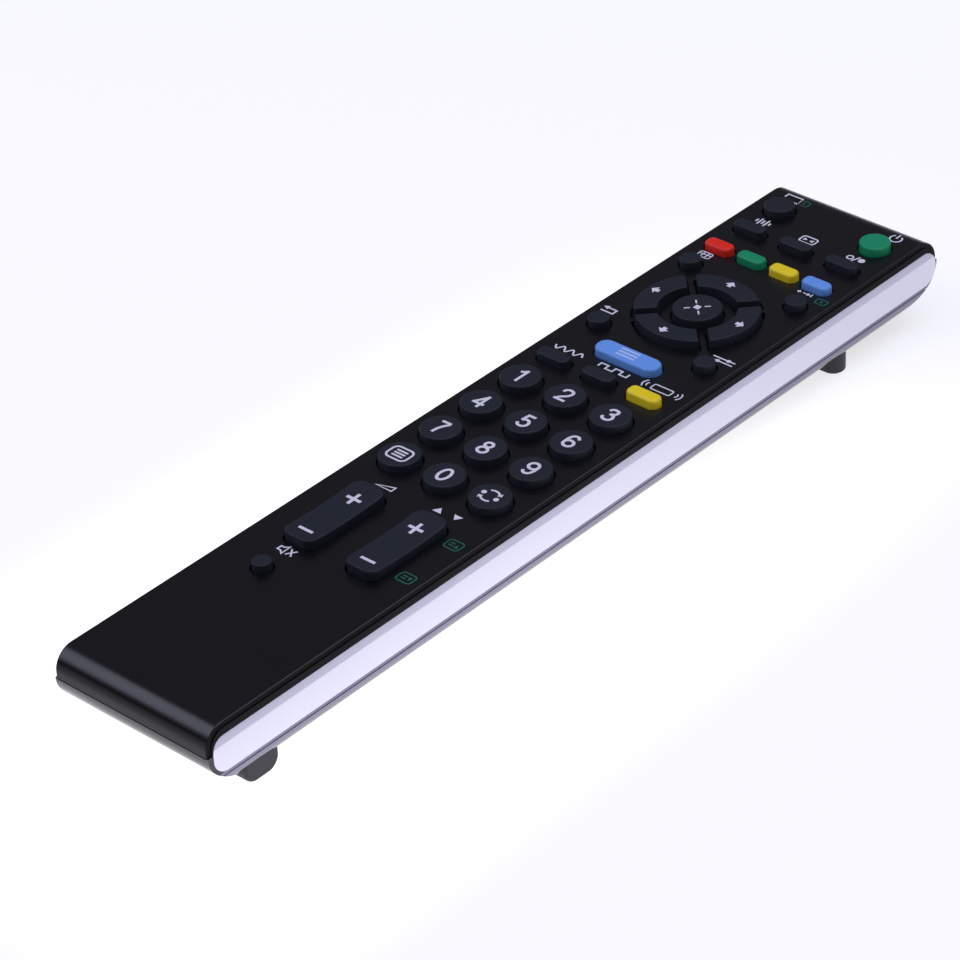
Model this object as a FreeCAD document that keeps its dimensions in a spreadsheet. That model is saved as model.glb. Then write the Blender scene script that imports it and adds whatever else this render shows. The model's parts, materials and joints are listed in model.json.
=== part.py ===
import FreeCAD, Part
import math
import os
import Sketcher

# Hand-held television remote control, in millimetres.
# X runs across the case, +Y points to the end with the infrared window, +Z is up.
# The origin is under the middle of the case, on the surface that the feet stand on.

SIZES = [
    # Case, seen from above and from the side
    ("body_length", "237.2"), ("body_width", "42.86"), ("stand_height", "21.5"), ("body_depth", "18"),
    ("parting_depth", "6.3"), ("near_round", "4.8"), ("nose_round", "6"), ("near_belly_round", "7"),
    ("near_belly_turn", "50"), ("far_belly_round", "7"), ("far_belly_turn", "50"), ("flank_round", "6.3"),
    ("panel_step_depth", "1.2"), ("panel_step_width", "0.28"), ("panel_edge_round", "0.35"),
    # Wall thicknesses
    ("plate_thickness", "1.6"), ("skin_thickness", "1.6"), ("side_wall", "2.53"), ("near_wall", "2.4"),
    ("nose_wall", "3.4"), ("near_bay_wall", "7.5"), ("far_bay_wall", "6.2"), ("belly_side_wall", "4.8"),
    ("upper_bay_depth", "5.6"), ("fit_gap", "0.05"), ("overshoot", "1"),
    # Bright strips along both sides
    ("trim_depth", "2.9"), ("trim_height", "8.6"), ("trim_thickness", "1.2"), ("trim_proud", "0.17"),
    ("trim_near_gap", "1.4"), ("trim_far_gap", "0.6"), ("trim_near_top_round", "3.2"),
    ("trim_near_low_round", "3.8"), ("trim_far_top_round", "4.4"), ("trim_far_low_round", "3.9"),
    ("trim_bevel_height", "2"), ("trim_bevel_depth", "0.35"),
    ("seam_depth", "0.35"), ("seam_width", "0.3"), ("seam_drop", "0.9"),
    # Keys: walls, flanges and travel
    ("key_rise", "1.95"), ("key_draft", "3"), ("key_gap", "0.35"), ("key_travel", "0.8"),
    ("flange_margin", "0.7"), ("flange_thickness", "0.7"), ("edge_round", "0.35"),
    ("soft_edge_round", "0.7"), ("plunger_radius", "1.6"), ("stop_gap", "0.05"), ("seat_gap", "0.02"), ("mat_thickness", "0.7"),
    ("mat_gap", "0.1"), ("board_thickness", "1.2"), ("plunger_clearance", "0.4"),
    # Keypad and battery bay: how far their zero lines lie from the far and the near end
    ("keypad_reach", "118.6"), ("bay_reach", "118.6"),
    # Number keys
    ("number_side_gap", "0.67"), ("number_gap", "3.04"), ("row_gap", "3.28"), ("first_row_y", "12.86"),
    # Direction ring
    ("ring_y", "58"), ("select_radius", "5.85"), ("select_rise", "2.15"), ("ring_inner", "8.75"),
    ("ring_outer", "14.4"), ("ring_rise", "2.2"), ("ring_corner", "0.5"), ("spoke_width", "1.3"),
    ("ring_gap", "0.6"),
    ("corner_key_side", "6.48"), ("corner_key_offset", "16.1"), ("corner_key_radius", "2.65"),
    # Coloured and oblong keys
    ("colour_side_gap", "0.64"), ("colour_gap", "1.84"), ("colour_y", "83.3"), ("oblong_width", "3.8"),
    ("oblong_corner", "1.5"), ("oblong_length", "8.6"), ("oblong_y", "24"), ("colour_rise", "1.75"),
    ("mode_side", "8.33"), ("mode_y", "93.6"), ("mode_width", "3.6"),
    ("menu_length", "17.6"), ("menu_width", "5.4"), ("menu_y", "34"), ("menu_corner", "2.6"),
    ("menu_rise", "1.8"), ("top_key_side", "7.73"), ("top_key_y", "105.2"), ("top_key_radius", "3.75"),
    ("mute_x", "-8.6"), ("mute_gap", "9.7"), ("mute_radius", "2.3"),
    # Rocker keys
    ("rocker_x", "8.7"), ("rocker_row_gap", "7.51"), ("rocker_width", "8.6"), ("rocker_length", "24"),
    ("rocker_corner", "2.6"), ("rocker_rise", "2.45"), ("rocker_dip", "0.55"), ("rocker_gap", "0.5"),
    ("rocker_drop", "0.9"), ("rocker_lip", "0.55"), ("rocker_flange", "0.5"), ("pivot_radius", "0.5"),
    # Circuit board, its posts and screws
    ("board_side_gap", "3.93"), ("board_near_margin", "5.5"), ("board_far_y", "108"), ("post_radius", "1.8"),
    ("outer_post_side", "5.93"), ("outer_post_y", "33"), ("far_post_y", "101.5"), ("near_post_x", "6"),
    ("near_post_margin", "2"), ("screw_radius", "0.8"), ("screw_head_radius", "1.6"),
    ("screw_head_height", "1.1"), ("screw_length", "3.3"), ("screw_slot", "0.5"),
    ("chip_length", "12"), ("chip_width", "6"), ("chip_height", "1.6"), ("chip_y", "-8"),
    ("lead_pitch", "1.27"), ("lead_reach", "1"), ("lead_thickness", "0.3"),
    ("resonator_length", "6.5"), ("resonator_width", "2.4"), ("resonator_height", "3"),
    ("resonator_x", "10"), ("resonator_corner", "0.6"), ("capacitor_radius", "2.5"),
    ("capacitor_height", "5.4"), ("capacitor_x", "-10"), ("capacitor_y", "-20"),
    # Infrared window and emitter
    ("window_width", "16"), ("window_depth", "2.8"), ("emitter_radius", "1.5"), ("emitter_length", "3.4"),
    ("emitter_flange_radius", "1.9"), ("emitter_flange", "0.8"), ("emitter_gap", "0.8"),
    ("emitter_room", "0.5"), ("emitter_lead", "0.45"), ("emitter_lead_length", "3"),
    ("emitter_lead_spread", "1.27"),
    # Battery bay, cells and cover
    ("cell_radius", "5.2"), ("cell_length", "44.5"), ("cell_nub_radius", "1.9"), ("cell_nub_height", "0.9"),
    ("cell_edge", "0.5"), ("cell_pitch", "11"), ("bay_y", "-65"), ("bay_end_room", "2.4"),
    ("bay_side_room", "0.3"), ("bay_wall", "1.2"), ("bay_roof", "0.5"), ("contact_thickness", "0.4"),
    ("contact_width", "7"), ("contact_height", "8"), ("contact_tail", "2"), ("contact_gap", "0.05"),
    ("contact_boss_radius", "2.6"), ("contact_boss_draft", "15"), ("contact_leaf_width", "4"),
    ("cover_width", "28.4"), ("cover_near_lap", "4.85"), ("cover_far_lap", "4.35"),
    ("cover_thickness", "1.5"), ("cover_gap", "0.15"), ("ledge_width", "1.2"), ("tab_reach", "3"), ("tab_root", "2.5"),
    ("tab_width", "5"), ("tab_x", "8"), ("tab_thickness", "0.9"), ("tab_lift", "0.2"),
    ("latch_width", "9"), ("latch_thickness", "1"), ("latch_height", "2.4"), ("latch_setback", "0.8"),
    ("grip_width", "12"), ("grip_pitch", "1.6"), ("grip_groove", "0.7"), ("grip_depth", "0.4"),
    # Ribs and snap hooks between the two halves of the case
    ("rib_thickness", "1.2"), ("rib_gap", "0.1"), ("hook_width", "4"), ("hook_thickness", "0.9"),
    ("hook_reach", "2.8"), ("hook_catch", "0.4"), ("hook_catch_height", "1"), ("hook_gap", "0.1"),
    ("hook_root", "2.5"), ("near_hook_y", "-90"), ("middle_hook_y", "-6.55"), ("near_rib_gap", "7"),
    ("middle_rib_y", "47"), ("far_rib_y", "89"),
    # Feet
    ("foot_side_gap", "2.13"), ("near_foot_gap", "7.9"), ("near_foot_length", "9.5"),
    ("near_foot_round", "3.2"), ("near_foot_edge", "0.8"), ("far_foot_y", "86.3"),
    ("far_foot_length", "5.8"), ("far_foot_corner", "2.8"), ("far_foot_round", "0.4"),
]

doc = FreeCAD.newDocument("remote_control")
sheet = doc.addObject("Spreadsheet::Sheet", "Sizes")
for row, (alias, number) in enumerate(SIZES, start=1):
    sheet.set("A%d" % row, alias)
    sheet.set("B%d" % row, number)
    sheet.setAlias("B%d" % row, alias)
doc.recompute()


class Size:
    """A length that knows both its number and the sheet expression it comes from."""

    def __init__(self, expression, value):
        self.expression = expression
        self.value = value

    def join(self, other, sign, value):
        return Size("(%s %s %s)" % (self.expression, sign, other.expression), value)

    def __add__(self, other):
        other = as_size(other)
        return self.join(other, "+", self.value + other.value)

    def __sub__(self, other):
        other = as_size(other)
        return self.join(other, "-", self.value - other.value)

    def __mul__(self, other):
        other = as_size(other)
        return self.join(other, "*", self.value * other.value)

    def __truediv__(self, other):
        other = as_size(other)
        return self.join(other, "/", self.value / other.value)

    def __neg__(self):
        return Size("(-1 * %s)" % self.expression, -self.value)


def as_size(number):
    return number if isinstance(number, Size) else Size(repr(float(number)), float(number))


def size(alias):
    return Size("Sizes." + alias, float(sheet.get(alias)))


def root_of(length):
    return Size("sqrt(%s)" % length.expression, math.sqrt(length.value))


def sine(angle):
    return Size("sin(%s * 1deg)" % angle.expression, math.sin(math.radians(angle.value)))


def cosine(angle):
    return Size("cos(%s * 1deg)" % angle.expression, math.cos(math.radians(angle.value)))


def other_leg(longest, leg):
    """The second short side of a right-angled triangle."""
    return root_of(longest * longest - leg * leg)


ZERO = as_size(0)


pieces = []


def new_body(label, kept=True):
    body = doc.addObject("PartDesign::Body", label)
    body.Label = label
    if kept:
        pieces.append(body)
    return body


def sketch_on(body, name, role, offset=ZERO):
    """A sketch on one of the body's own origin planes, moved along that plane's normal."""
    sketch = body.newObject("Sketcher::SketchObject", name)
    plane = [item for item in body.Origin.OriginFeatures if item.Role == role][0]
    sketch.AttachmentSupport = [(plane, "")]
    sketch.MapMode = "FlatFace"
    sketch.AttachmentOffset = FreeCAD.Placement(FreeCAD.Vector(0, 0, offset.value), FreeCAD.Rotation())
    sketch.setExpression("AttachmentOffset.Base.z", offset.expression)
    return sketch


def bind(sketch, dimensions):
    """Adds dimensions, each a kind, its references and its size, and ties them to the sheet."""
    limits = []
    for kind, references, length in dimensions:
        limits.append(Sketcher.Constraint(kind, *references, length.value))
    indices = sketch.addConstraint(limits)
    for index, (_, _, length) in zip(indices, dimensions):
        sketch.setExpression("Constraints[%d]" % index, length.expression)


def circle(sketch, radius, x=ZERO, y=ZERO):
    centre = FreeCAD.Vector(x.value, y.value, 0)
    index = sketch.addGeometry(Part.Circle(centre, FreeCAD.Vector(0, 0, 1), radius.value))
    bind(sketch, [("Radius", (index,), radius), ("DistanceX", (index, 3), x), ("DistanceY", (index, 3), y)])


def arc_between(start, end, radius):
    """The short arc from start to end; a positive radius turns left, a negative one right."""
    if radius < 0:
        return arc_between(end, start, -radius)
    chord = end - start
    middle = (start + end) * 0.5
    rise = math.sqrt(max(radius ** 2 - (chord.Length / 2) ** 2, 0))
    normal = FreeCAD.Vector(-chord.y, chord.x, 0).normalize()
    centre = middle + normal * rise
    first = math.atan2(start.y - centre.y, start.x - centre.x)
    last = math.atan2(end.y - centre.y, end.x - centre.x)
    return Part.ArcOfCircle(Part.Circle(centre, FreeCAD.Vector(0, 0, 1), radius), first, last)


def loop(sketch, corners):
    """A closed outline; a corner with a third value starts an arc of that radius."""
    count = len(corners)
    first = sketch.GeometryCount
    spots = [FreeCAD.Vector(corner[0].value, corner[1].value, 0) for corner in corners]
    ends = []
    for step, corner in enumerate(corners):
        start, end = spots[step], spots[(step + 1) % count]
        if len(corner) == 3:
            sketch.addGeometry(arc_between(start, end, corner[2].value))
            ends.append((1, 2) if corner[2].value > 0 else (2, 1))
        else:
            sketch.addGeometry(Part.LineSegment(start, end))
            ends.append((1, 2))
    joints = []
    dimensions = []
    for step, corner in enumerate(corners):
        after = (step + 1) % count
        joints.append(Sketcher.Constraint(
            "Coincident", first + step, ends[step][1], first + after, ends[after][0]))
        dimensions.append(("DistanceX", (first + step, ends[step][0]), corner[0]))
        dimensions.append(("DistanceY", (first + step, ends[step][0]), corner[1]))
        if len(corner) == 3:
            dimensions.append(("Radius", (first + step,), corner[2] if corner[2].value > 0 else -corner[2]))
    sketch.addConstraint(joints)
    bind(sketch, dimensions)


def rectangle(sketch, left, right, low, high):
    loop(sketch, [(left, low), (right, low), (right, high), (left, high)])


def rounded(sketch, length, width, corner, x=ZERO, y=ZERO):
    """A rectangle with quarter-round corners, centred on x, y."""
    left, right = x - length / 2, x + length / 2
    low, high = y - width / 2, y + width / 2
    loop(sketch, [
        (left + corner, low), (right - corner, low, corner), (right, low + corner),
        (right, high - corner, corner), (right - corner, high), (left + corner, high, corner),
        (left, high - corner), (left, low + corner, corner)])


def sector(sketch, inner, outer, half_gap, turns=0, y=ZERO):
    """A quarter of a ring between two radii, with straight sides beside the diagonals."""
    far, near = other_leg(outer, half_gap), other_leg(inner, half_gap)
    slant = root_of(as_size(2))
    corners = [
        ((far - half_gap) / slant, (far + half_gap) / slant, outer),
        (-((far - half_gap) / slant), (far + half_gap) / slant),
        (-((near - half_gap) / slant), (near + half_gap) / slant, -inner),
        ((near - half_gap) / slant, (near + half_gap) / slant)]
    for _ in range(turns):
        corners = [(-corner[1], corner[0]) + tuple(corner[2:]) for corner in corners]
    loop(sketch, [(corner[0], corner[1] + y) + tuple(corner[2:]) for corner in corners])


def pad(body, name, sketch, length, both_ways=False, taper=None, downward=False):
    feature = body.newObject("PartDesign::Pad", name)
    feature.Profile = sketch
    feature.setExpression("Length", length.expression)
    feature.SideType = "Symmetric" if both_ways else "One side"
    feature.Reversed = downward
    if taper is not None:
        feature.setExpression("TaperAngle", (-taper).expression)
    body.Tip = feature
    return feature


def pocket(body, name, sketch, length, both_ways=False, with_normal=False):
    """Cuts against the sketch plane's normal, along it, or to both sides."""
    feature = body.newObject("PartDesign::Pocket", name)
    feature.Profile = sketch
    feature.setExpression("Length", length.expression)
    feature.SideType = "Symmetric" if both_ways else "One side"
    feature.Reversed = with_normal
    body.Tip = feature
    return feature


def fillet(body, name, base, radius, wanted):
    """Rounds the edges of base for which wanted(edge) is true."""
    base.recompute(True)
    edges = ["Edge%d" % number for number, edge in enumerate(base.Shape.Edges, start=1) if wanted(edge)]
    feature = body.newObject("PartDesign::Fillet", name)
    feature.Base = (base, edges)
    feature.setExpression("Radius", radius.expression)
    body.Tip = feature
    return feature


def lies_at(edge, height):
    box = edge.BoundBox
    return abs(box.ZMin - height) < 1e-4 and abs(box.ZMax - height) < 1e-4


# Heights and lengths that several pieces share
half_length = size("body_length") / 2
half_width = size("body_width") / 2
top = size("stand_height")
parting = top - size("parting_depth")
belly = top - size("body_depth")
under_plate = top - size("plate_thickness")
board_top = (under_plate - size("flange_thickness") - size("key_travel") - size("mat_gap")
             - size("mat_thickness"))
board_under = board_top - size("board_thickness")
emitter_z = board_under - size("emitter_lead") / 2
mat_top = board_top + size("mat_thickness")
key_seat = under_plate - size("seat_gap")
recess_x = half_width + size("trim_proud") - size("trim_thickness")
fit_gap = size("fit_gap")
over = size("overshoot")

# Battery bay: two cells side by side over the cover
inner_belly = belly + size("skin_thickness")
bay_half_width = size("cell_pitch") / 2 + size("cell_radius") + size("bay_side_room")
bay_zero = size("bay_reach") - half_length
bay_near = bay_zero + size("bay_y") - size("cell_length") / 2 - size("bay_end_room")
bay_far = bay_zero + size("bay_y") + size("cell_length") / 2 + size("bay_end_room")
cover_near = bay_near - size("cover_near_lap")
hinge_y = bay_far + size("cover_far_lap")
chip_y, capacitor_y = bay_zero + size("chip_y"), bay_zero + size("capacitor_y")
cell_z = belly + size("cover_thickness") + size("cover_gap") + size("cell_radius")
bay_roof_under = cell_z + size("cell_radius") + size("cover_gap")

# Keypad: three columns as wide as the case allows, and the rockers and the mute key after the last row
keypad_zero = half_length - size("keypad_reach")
flange_limit = half_width - size("side_wall") - size("flange_margin")
column_pitch = (flange_limit - size("number_side_gap") + size("number_gap") / 2) / 1.5
number_radius = (column_pitch - size("number_gap")) / 2
row_pitch = number_radius * 2 + size("row_gap")
first_row_y = keypad_zero + size("first_row_y")
ring_y = keypad_zero + size("ring_y")
rocker_y = (first_row_y - row_pitch * 3 - number_radius - size("rocker_row_gap")
            - size("rocker_length") / 2)
mute_y = rocker_y - size("rocker_length") / 2 - size("mute_gap")
colour_pitch = (flange_limit - size("colour_side_gap") + size("colour_gap") / 2) / 2
outer_post_x = half_width - size("outer_post_side")
outer_post_y = keypad_zero + size("outer_post_y")
board_half = half_width - size("board_side_gap")
board_near = mute_y - size("board_near_margin")
board_far = keypad_zero + size("board_far_y")


def panel_profile(sketch, inset):
    """Side view of the upper case: the rolled near end, the flat top and the nose."""
    near, far, high = inset - half_length, half_length - inset, top - inset
    roll, nose = size("near_round") - inset, size("nose_round") - inset
    loop(sketch, [
        (near, parting), (far, parting), (far, high - nose, nose), (far - nose, high),
        (near + roll, high, roll), (near, high - roll)])


def belly_end(inset, small, turn):
    """The two arcs at one end of the belly: their radii, where they meet and where the flat begins."""
    large = (parting - belly - small * sine(turn)) / (as_size(1) - sine(turn))
    small_inside, large_inside = small - inset, large - inset
    bend_reach = half_length - small + small_inside * cosine(turn)
    bend_z = parting - small_inside * sine(turn)
    flat_reach = half_length - small - (large - small) * cosine(turn)
    return small_inside, large_inside, bend_reach, bend_z, flat_reach


def belly_profile(sketch, inset):
    """Side view of the lower case: flat underneath, with two arcs up to the parting at each end."""
    near_small, near_large, near_bend, near_bend_z, near_flat = belly_end(
        inset, size("near_belly_round"), size("near_belly_turn"))
    far_small, far_large, far_bend, far_bend_z, far_flat = belly_end(
        inset, size("far_belly_round"), size("far_belly_turn"))
    loop(sketch, [
        (inset - half_length, parting, near_small), (-near_bend, near_bend_z, near_large),
        (-near_flat, belly + inset), (far_flat, belly + inset, far_large),
        (far_bend, far_bend_z, far_small), (half_length - inset, parting)])


def trim_profile(sketch, margin):
    """Side view of a bright strip, with a different rounding at each corner."""
    near = size("trim_near_gap") - half_length - margin
    far = half_length - size("trim_far_gap") + margin
    high = top - size("trim_depth") + margin
    low = top - size("trim_depth") - size("trim_height") - margin
    near_top, near_low = size("trim_near_top_round"), size("trim_near_low_round")
    far_top, far_low = size("trim_far_top_round"), size("trim_far_low_round")
    loop(sketch, [
        (near + near_low, low), (far - far_low, low, far_low), (far, low + far_low),
        (far, high - far_top, far_top), (far - far_top, high), (near + near_top, high, near_top),
        (near, high - near_top), (near, low + near_low, near_low)])


def trim_recess(body):
    """The shallow beds that the bright strips lie in, on both sides."""
    sketch = sketch_on(body, "trim_bed_outline", "YZ_Plane", recess_x)
    trim_profile(sketch, fit_gap)
    pocket(body, "right_trim_bed", sketch, size("trim_thickness") * 2, with_normal=True)
    sketch = sketch_on(body, "left_trim_bed_outline", "YZ_Plane", -recess_x)
    trim_profile(sketch, fit_gap)
    pocket(body, "left_trim_bed", sketch, size("trim_thickness") * 2)


# Where each key sits and what it looks like from above
ROUND_KEYS = []
for label, column, row in (
        ("number_1_key", -1, 0), ("number_2_key", 0, 0), ("number_3_key", 1, 0),
        ("number_4_key", -1, 1), ("number_5_key", 0, 1), ("number_6_key", 1, 1),
        ("number_7_key", -1, 2), ("number_8_key", 0, 2), ("number_9_key", 1, 2),
        ("text_key", -1, 3), ("number_0_key", 0, 3), ("jump_key", 1, 3)):
    key_x = column_pitch * column
    key_y = first_row_y - row_pitch * row
    ROUND_KEYS.append((label, key_x, key_y, number_radius, size("key_rise")))
for label, side, end in (
        ("guide_key", -1, 1), ("info_key", 1, 1), ("return_key", -1, -1), ("tools_key", 1, -1)):
    key_x = (half_width - size("corner_key_side")) * side
    key_y = ring_y + size("corner_key_offset") * end
    ROUND_KEYS.append((label, key_x, key_y, size("corner_key_radius"), size("key_rise")))
for label, side in (("input_key", -1), ("power_key", 1)):
    key_x = (half_width - size("top_key_side")) * side
    key_y = keypad_zero + size("top_key_y")
    ROUND_KEYS.append((label, key_x, key_y, size("top_key_radius"), size("key_rise")))
ROUND_KEYS.append(("select_key", ZERO, ring_y, size("select_radius"), size("select_rise")))
ROUND_KEYS.append(("mute_key", size("mute_x"), mute_y, size("mute_radius"), size("key_rise")))

OBLONG_KEYS = []
for label, place in (("red_key", -1.5), ("green_key", -0.5), ("yellow_key", 0.5), ("blue_key", 1.5)):
    OBLONG_KEYS.append((label, colour_pitch * place, keypad_zero + size("colour_y"),
                        colour_pitch - size("colour_gap"), size("oblong_width"), size("oblong_corner"),
                        size("colour_rise"), True))
for label, place in (("sound_mode_key", -1), ("screen_mode_key", 0), ("dual_sound_key", 1)):
    OBLONG_KEYS.append((label, (half_width - size("mode_side")) * place, keypad_zero + size("mode_y"),
                        size("oblong_length"), size("mode_width"), size("oblong_corner"),
                        size("key_rise"), False))
for label, place in (("analog_key", -1), ("digital_key", 0), ("theatre_key", 1)):
    OBLONG_KEYS.append((label, column_pitch * place, keypad_zero + size("oblong_y"),
                        size("oblong_length"), size("oblong_width"), size("oblong_corner"),
                        size("key_rise"), label == "theatre_key"))
OBLONG_KEYS.append(("menu_key", ZERO, keypad_zero + size("menu_y"), size("menu_length"),
                    size("menu_width"), size("menu_corner"), size("menu_rise"), True))

RING_KEYS = [("up_key", 0), ("left_key", 1), ("down_key", 2), ("right_key", 3)]
ROCKERS = [("volume_rocker", -1), ("channel_rocker", 1)]

POSTS = [
    (-(column_pitch / 2), first_row_y - row_pitch / 2), (column_pitch / 2, first_row_y - row_pitch / 2),
    (-outer_post_x, outer_post_y), (outer_post_x, outer_post_y),
    (ZERO, keypad_zero + size("far_post_y")), (ZERO, rocker_y),
    (size("near_post_x"), mute_y - size("near_post_margin"))]
SCREWED_POSTS = POSTS[:5]
HOOKS = [bay_zero + size("near_hook_y"), bay_zero + size("middle_hook_y"), ring_y]
RIBS = [hinge_y + size("near_rib_gap"), keypad_zero + size("middle_rib_y"), keypad_zero + size("far_rib_y")]


def snap_hooks(body):
    """Hooks inside both side walls that catch in pockets of the lower case."""
    wall = half_width - size("side_wall")
    outer = wall - size("hook_gap")
    inner = outer - size("hook_thickness")
    root, tip = parting + size("hook_root"), parting - size("hook_reach")
    catch = tip + size("hook_catch_height")
    for number, y in enumerate(HOOKS, start=1):
        for side, name in ((-1, "left"), (1, "right")):
            sketch = sketch_on(body, "%s_hook_%d_view" % (name, number), "XZ_Plane", -y)
            loop(sketch, [
                (inner * side, root), ((wall + fit_gap) * side, root),
                ((wall + fit_gap) * side, parting + fit_gap),
                (outer * side, parting + fit_gap), (outer * side, catch),
                ((outer + size("hook_catch")) * side, catch), (outer * side, tip), (inner * side, tip)])
            pad(body, "%s_hook_%d" % (name, number), sketch, size("hook_width"), both_ways=True)


def make_top_shell():
    """Black upper case: face panel, stepped rim, key openings, posts for the board."""
    body = new_body("top_shell")
    sketch = sketch_on(body, "panel_side_view", "YZ_Plane")
    panel_profile(sketch, ZERO)
    panel = pad(body, "panel", sketch, size("body_width") - size("panel_step_width") * 2, both_ways=True)
    side_x = (half_width - size("panel_step_width")).value
    low = parting.value + 1e-3

    def on_rim(edge):
        box = edge.BoundBox
        return box.XLength < 1e-4 and abs(abs(box.XMin) - side_x) < 1e-4 and box.ZMax > low

    fillet(body, "panel_edge", panel, size("panel_edge_round"), on_rim)
    sketch = sketch_on(body, "rim_side_view", "YZ_Plane")
    panel_profile(sketch, size("panel_step_depth"))
    pad(body, "rim", sketch, size("body_width"), both_ways=True)
    sketch = sketch_on(body, "cavity_outline", "XY_Plane", parting)
    rectangle(sketch, size("side_wall") - half_width, half_width - size("side_wall"),
              size("near_wall") - half_length, half_length - size("nose_wall"))
    pocket(body, "cavity", sketch, size("parting_depth") - size("plate_thickness"), with_normal=True)
    trim_recess(body)

    gap = size("key_gap")
    depth = size("plate_thickness") + fit_gap
    sketch = sketch_on(body, "round_openings", "XY_Plane", top)
    for _, x, y, radius, _ in ROUND_KEYS:
        circle(sketch, radius + gap, x, y)
    pocket(body, "round_key_openings", sketch, depth)
    for label, x, y, length, width, corner, _, _ in OBLONG_KEYS:
        sketch = sketch_on(body, label + "_opening_outline", "XY_Plane", top)
        rounded(sketch, length + gap * 2, width + gap * 2, corner + gap, x, y)
        pocket(body, label + "_opening", sketch, depth)
    sketch = sketch_on(body, "ring_openings", "XY_Plane", top)
    for _, turns in RING_KEYS:
        sector(sketch, size("ring_inner") - size("ring_gap"), size("ring_outer") + size("ring_gap"),
               size("spoke_width") / 2, turns, ring_y)
    pocket(body, "ring_key_openings", sketch, depth)
    sketch = sketch_on(body, "rocker_openings", "XY_Plane", top)
    slack = size("rocker_gap")
    for _, side in ROCKERS:
        rounded(sketch, size("rocker_width") + slack * 2, size("rocker_length") + slack * 2,
                size("rocker_corner") + slack, size("rocker_x") * side, rocker_y)
    pocket(body, "rocker_key_openings", sketch, depth)

    sketch = sketch_on(body, "post_outline", "XY_Plane", board_top)
    for x, y in POSTS:
        circle(sketch, size("post_radius"), x, y)
    pad(body, "posts", sketch, under_plate - board_top)
    sketch = sketch_on(body, "pilot_outline", "XY_Plane", board_top)
    for x, y in SCREWED_POSTS:
        circle(sketch, size("screw_radius") + fit_gap, x, y)
    pilot_depth = size("screw_length") - size("board_thickness") + fit_gap
    pocket(body, "pilot_holes", sketch, pilot_depth, with_normal=True)
    snap_hooks(body)

    sketch = sketch_on(body, "window_notch_outline", "YZ_Plane")
    rectangle(sketch, half_length - size("nose_wall") - over, half_length + over, parting - over,
              top - size("window_depth") + fit_gap)
    pocket(body, "window_notch", sketch, size("window_width") + fit_gap * 2, both_ways=True)


def lower_form(body):
    """The outer shape of the lower case, solid, in the given body."""
    sketch = sketch_on(body, body.Label + "_side_view", "YZ_Plane")
    belly_profile(sketch, ZERO)
    pad(body, body.Label + "_block", sketch, size("body_width"), both_ways=True)
    curve = size("flank_round")
    beyond, below = half_width + over, belly - over
    for side, label in ((1, "right"), (-1, "left")):
        sketch = sketch_on(body, "%s_%s_flank" % (body.Label, label), "XZ_Plane")
        loop(sketch, [
            ((half_width - curve) * side, belly, curve * side), (half_width * side, belly + curve),
            (beyond * side, belly + curve), (beyond * side, below), ((half_width - curve) * side, below)])
        pocket(body, "%s_%s_flank_round" % (body.Label, label), sketch, size("body_length") * 2,
               both_ways=True)


def seam_groove(body):
    """A fine line under each bright strip, along the whole case."""
    high = top - size("trim_depth") - size("trim_height") - size("seam_drop")
    sketch = sketch_on(body, "seam_outline", "XZ_Plane")
    for side in (-1, 1):
        inner, outer = (half_width - size("seam_depth")) * side, (half_width + over) * side
        loop(sketch, [(inner, high), (outer, high), (outer, high - size("seam_width")),
                      (inner, high - size("seam_width"))])
    pocket(body, "seam", sketch, size("body_length") * 2, both_ways=True)


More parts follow.
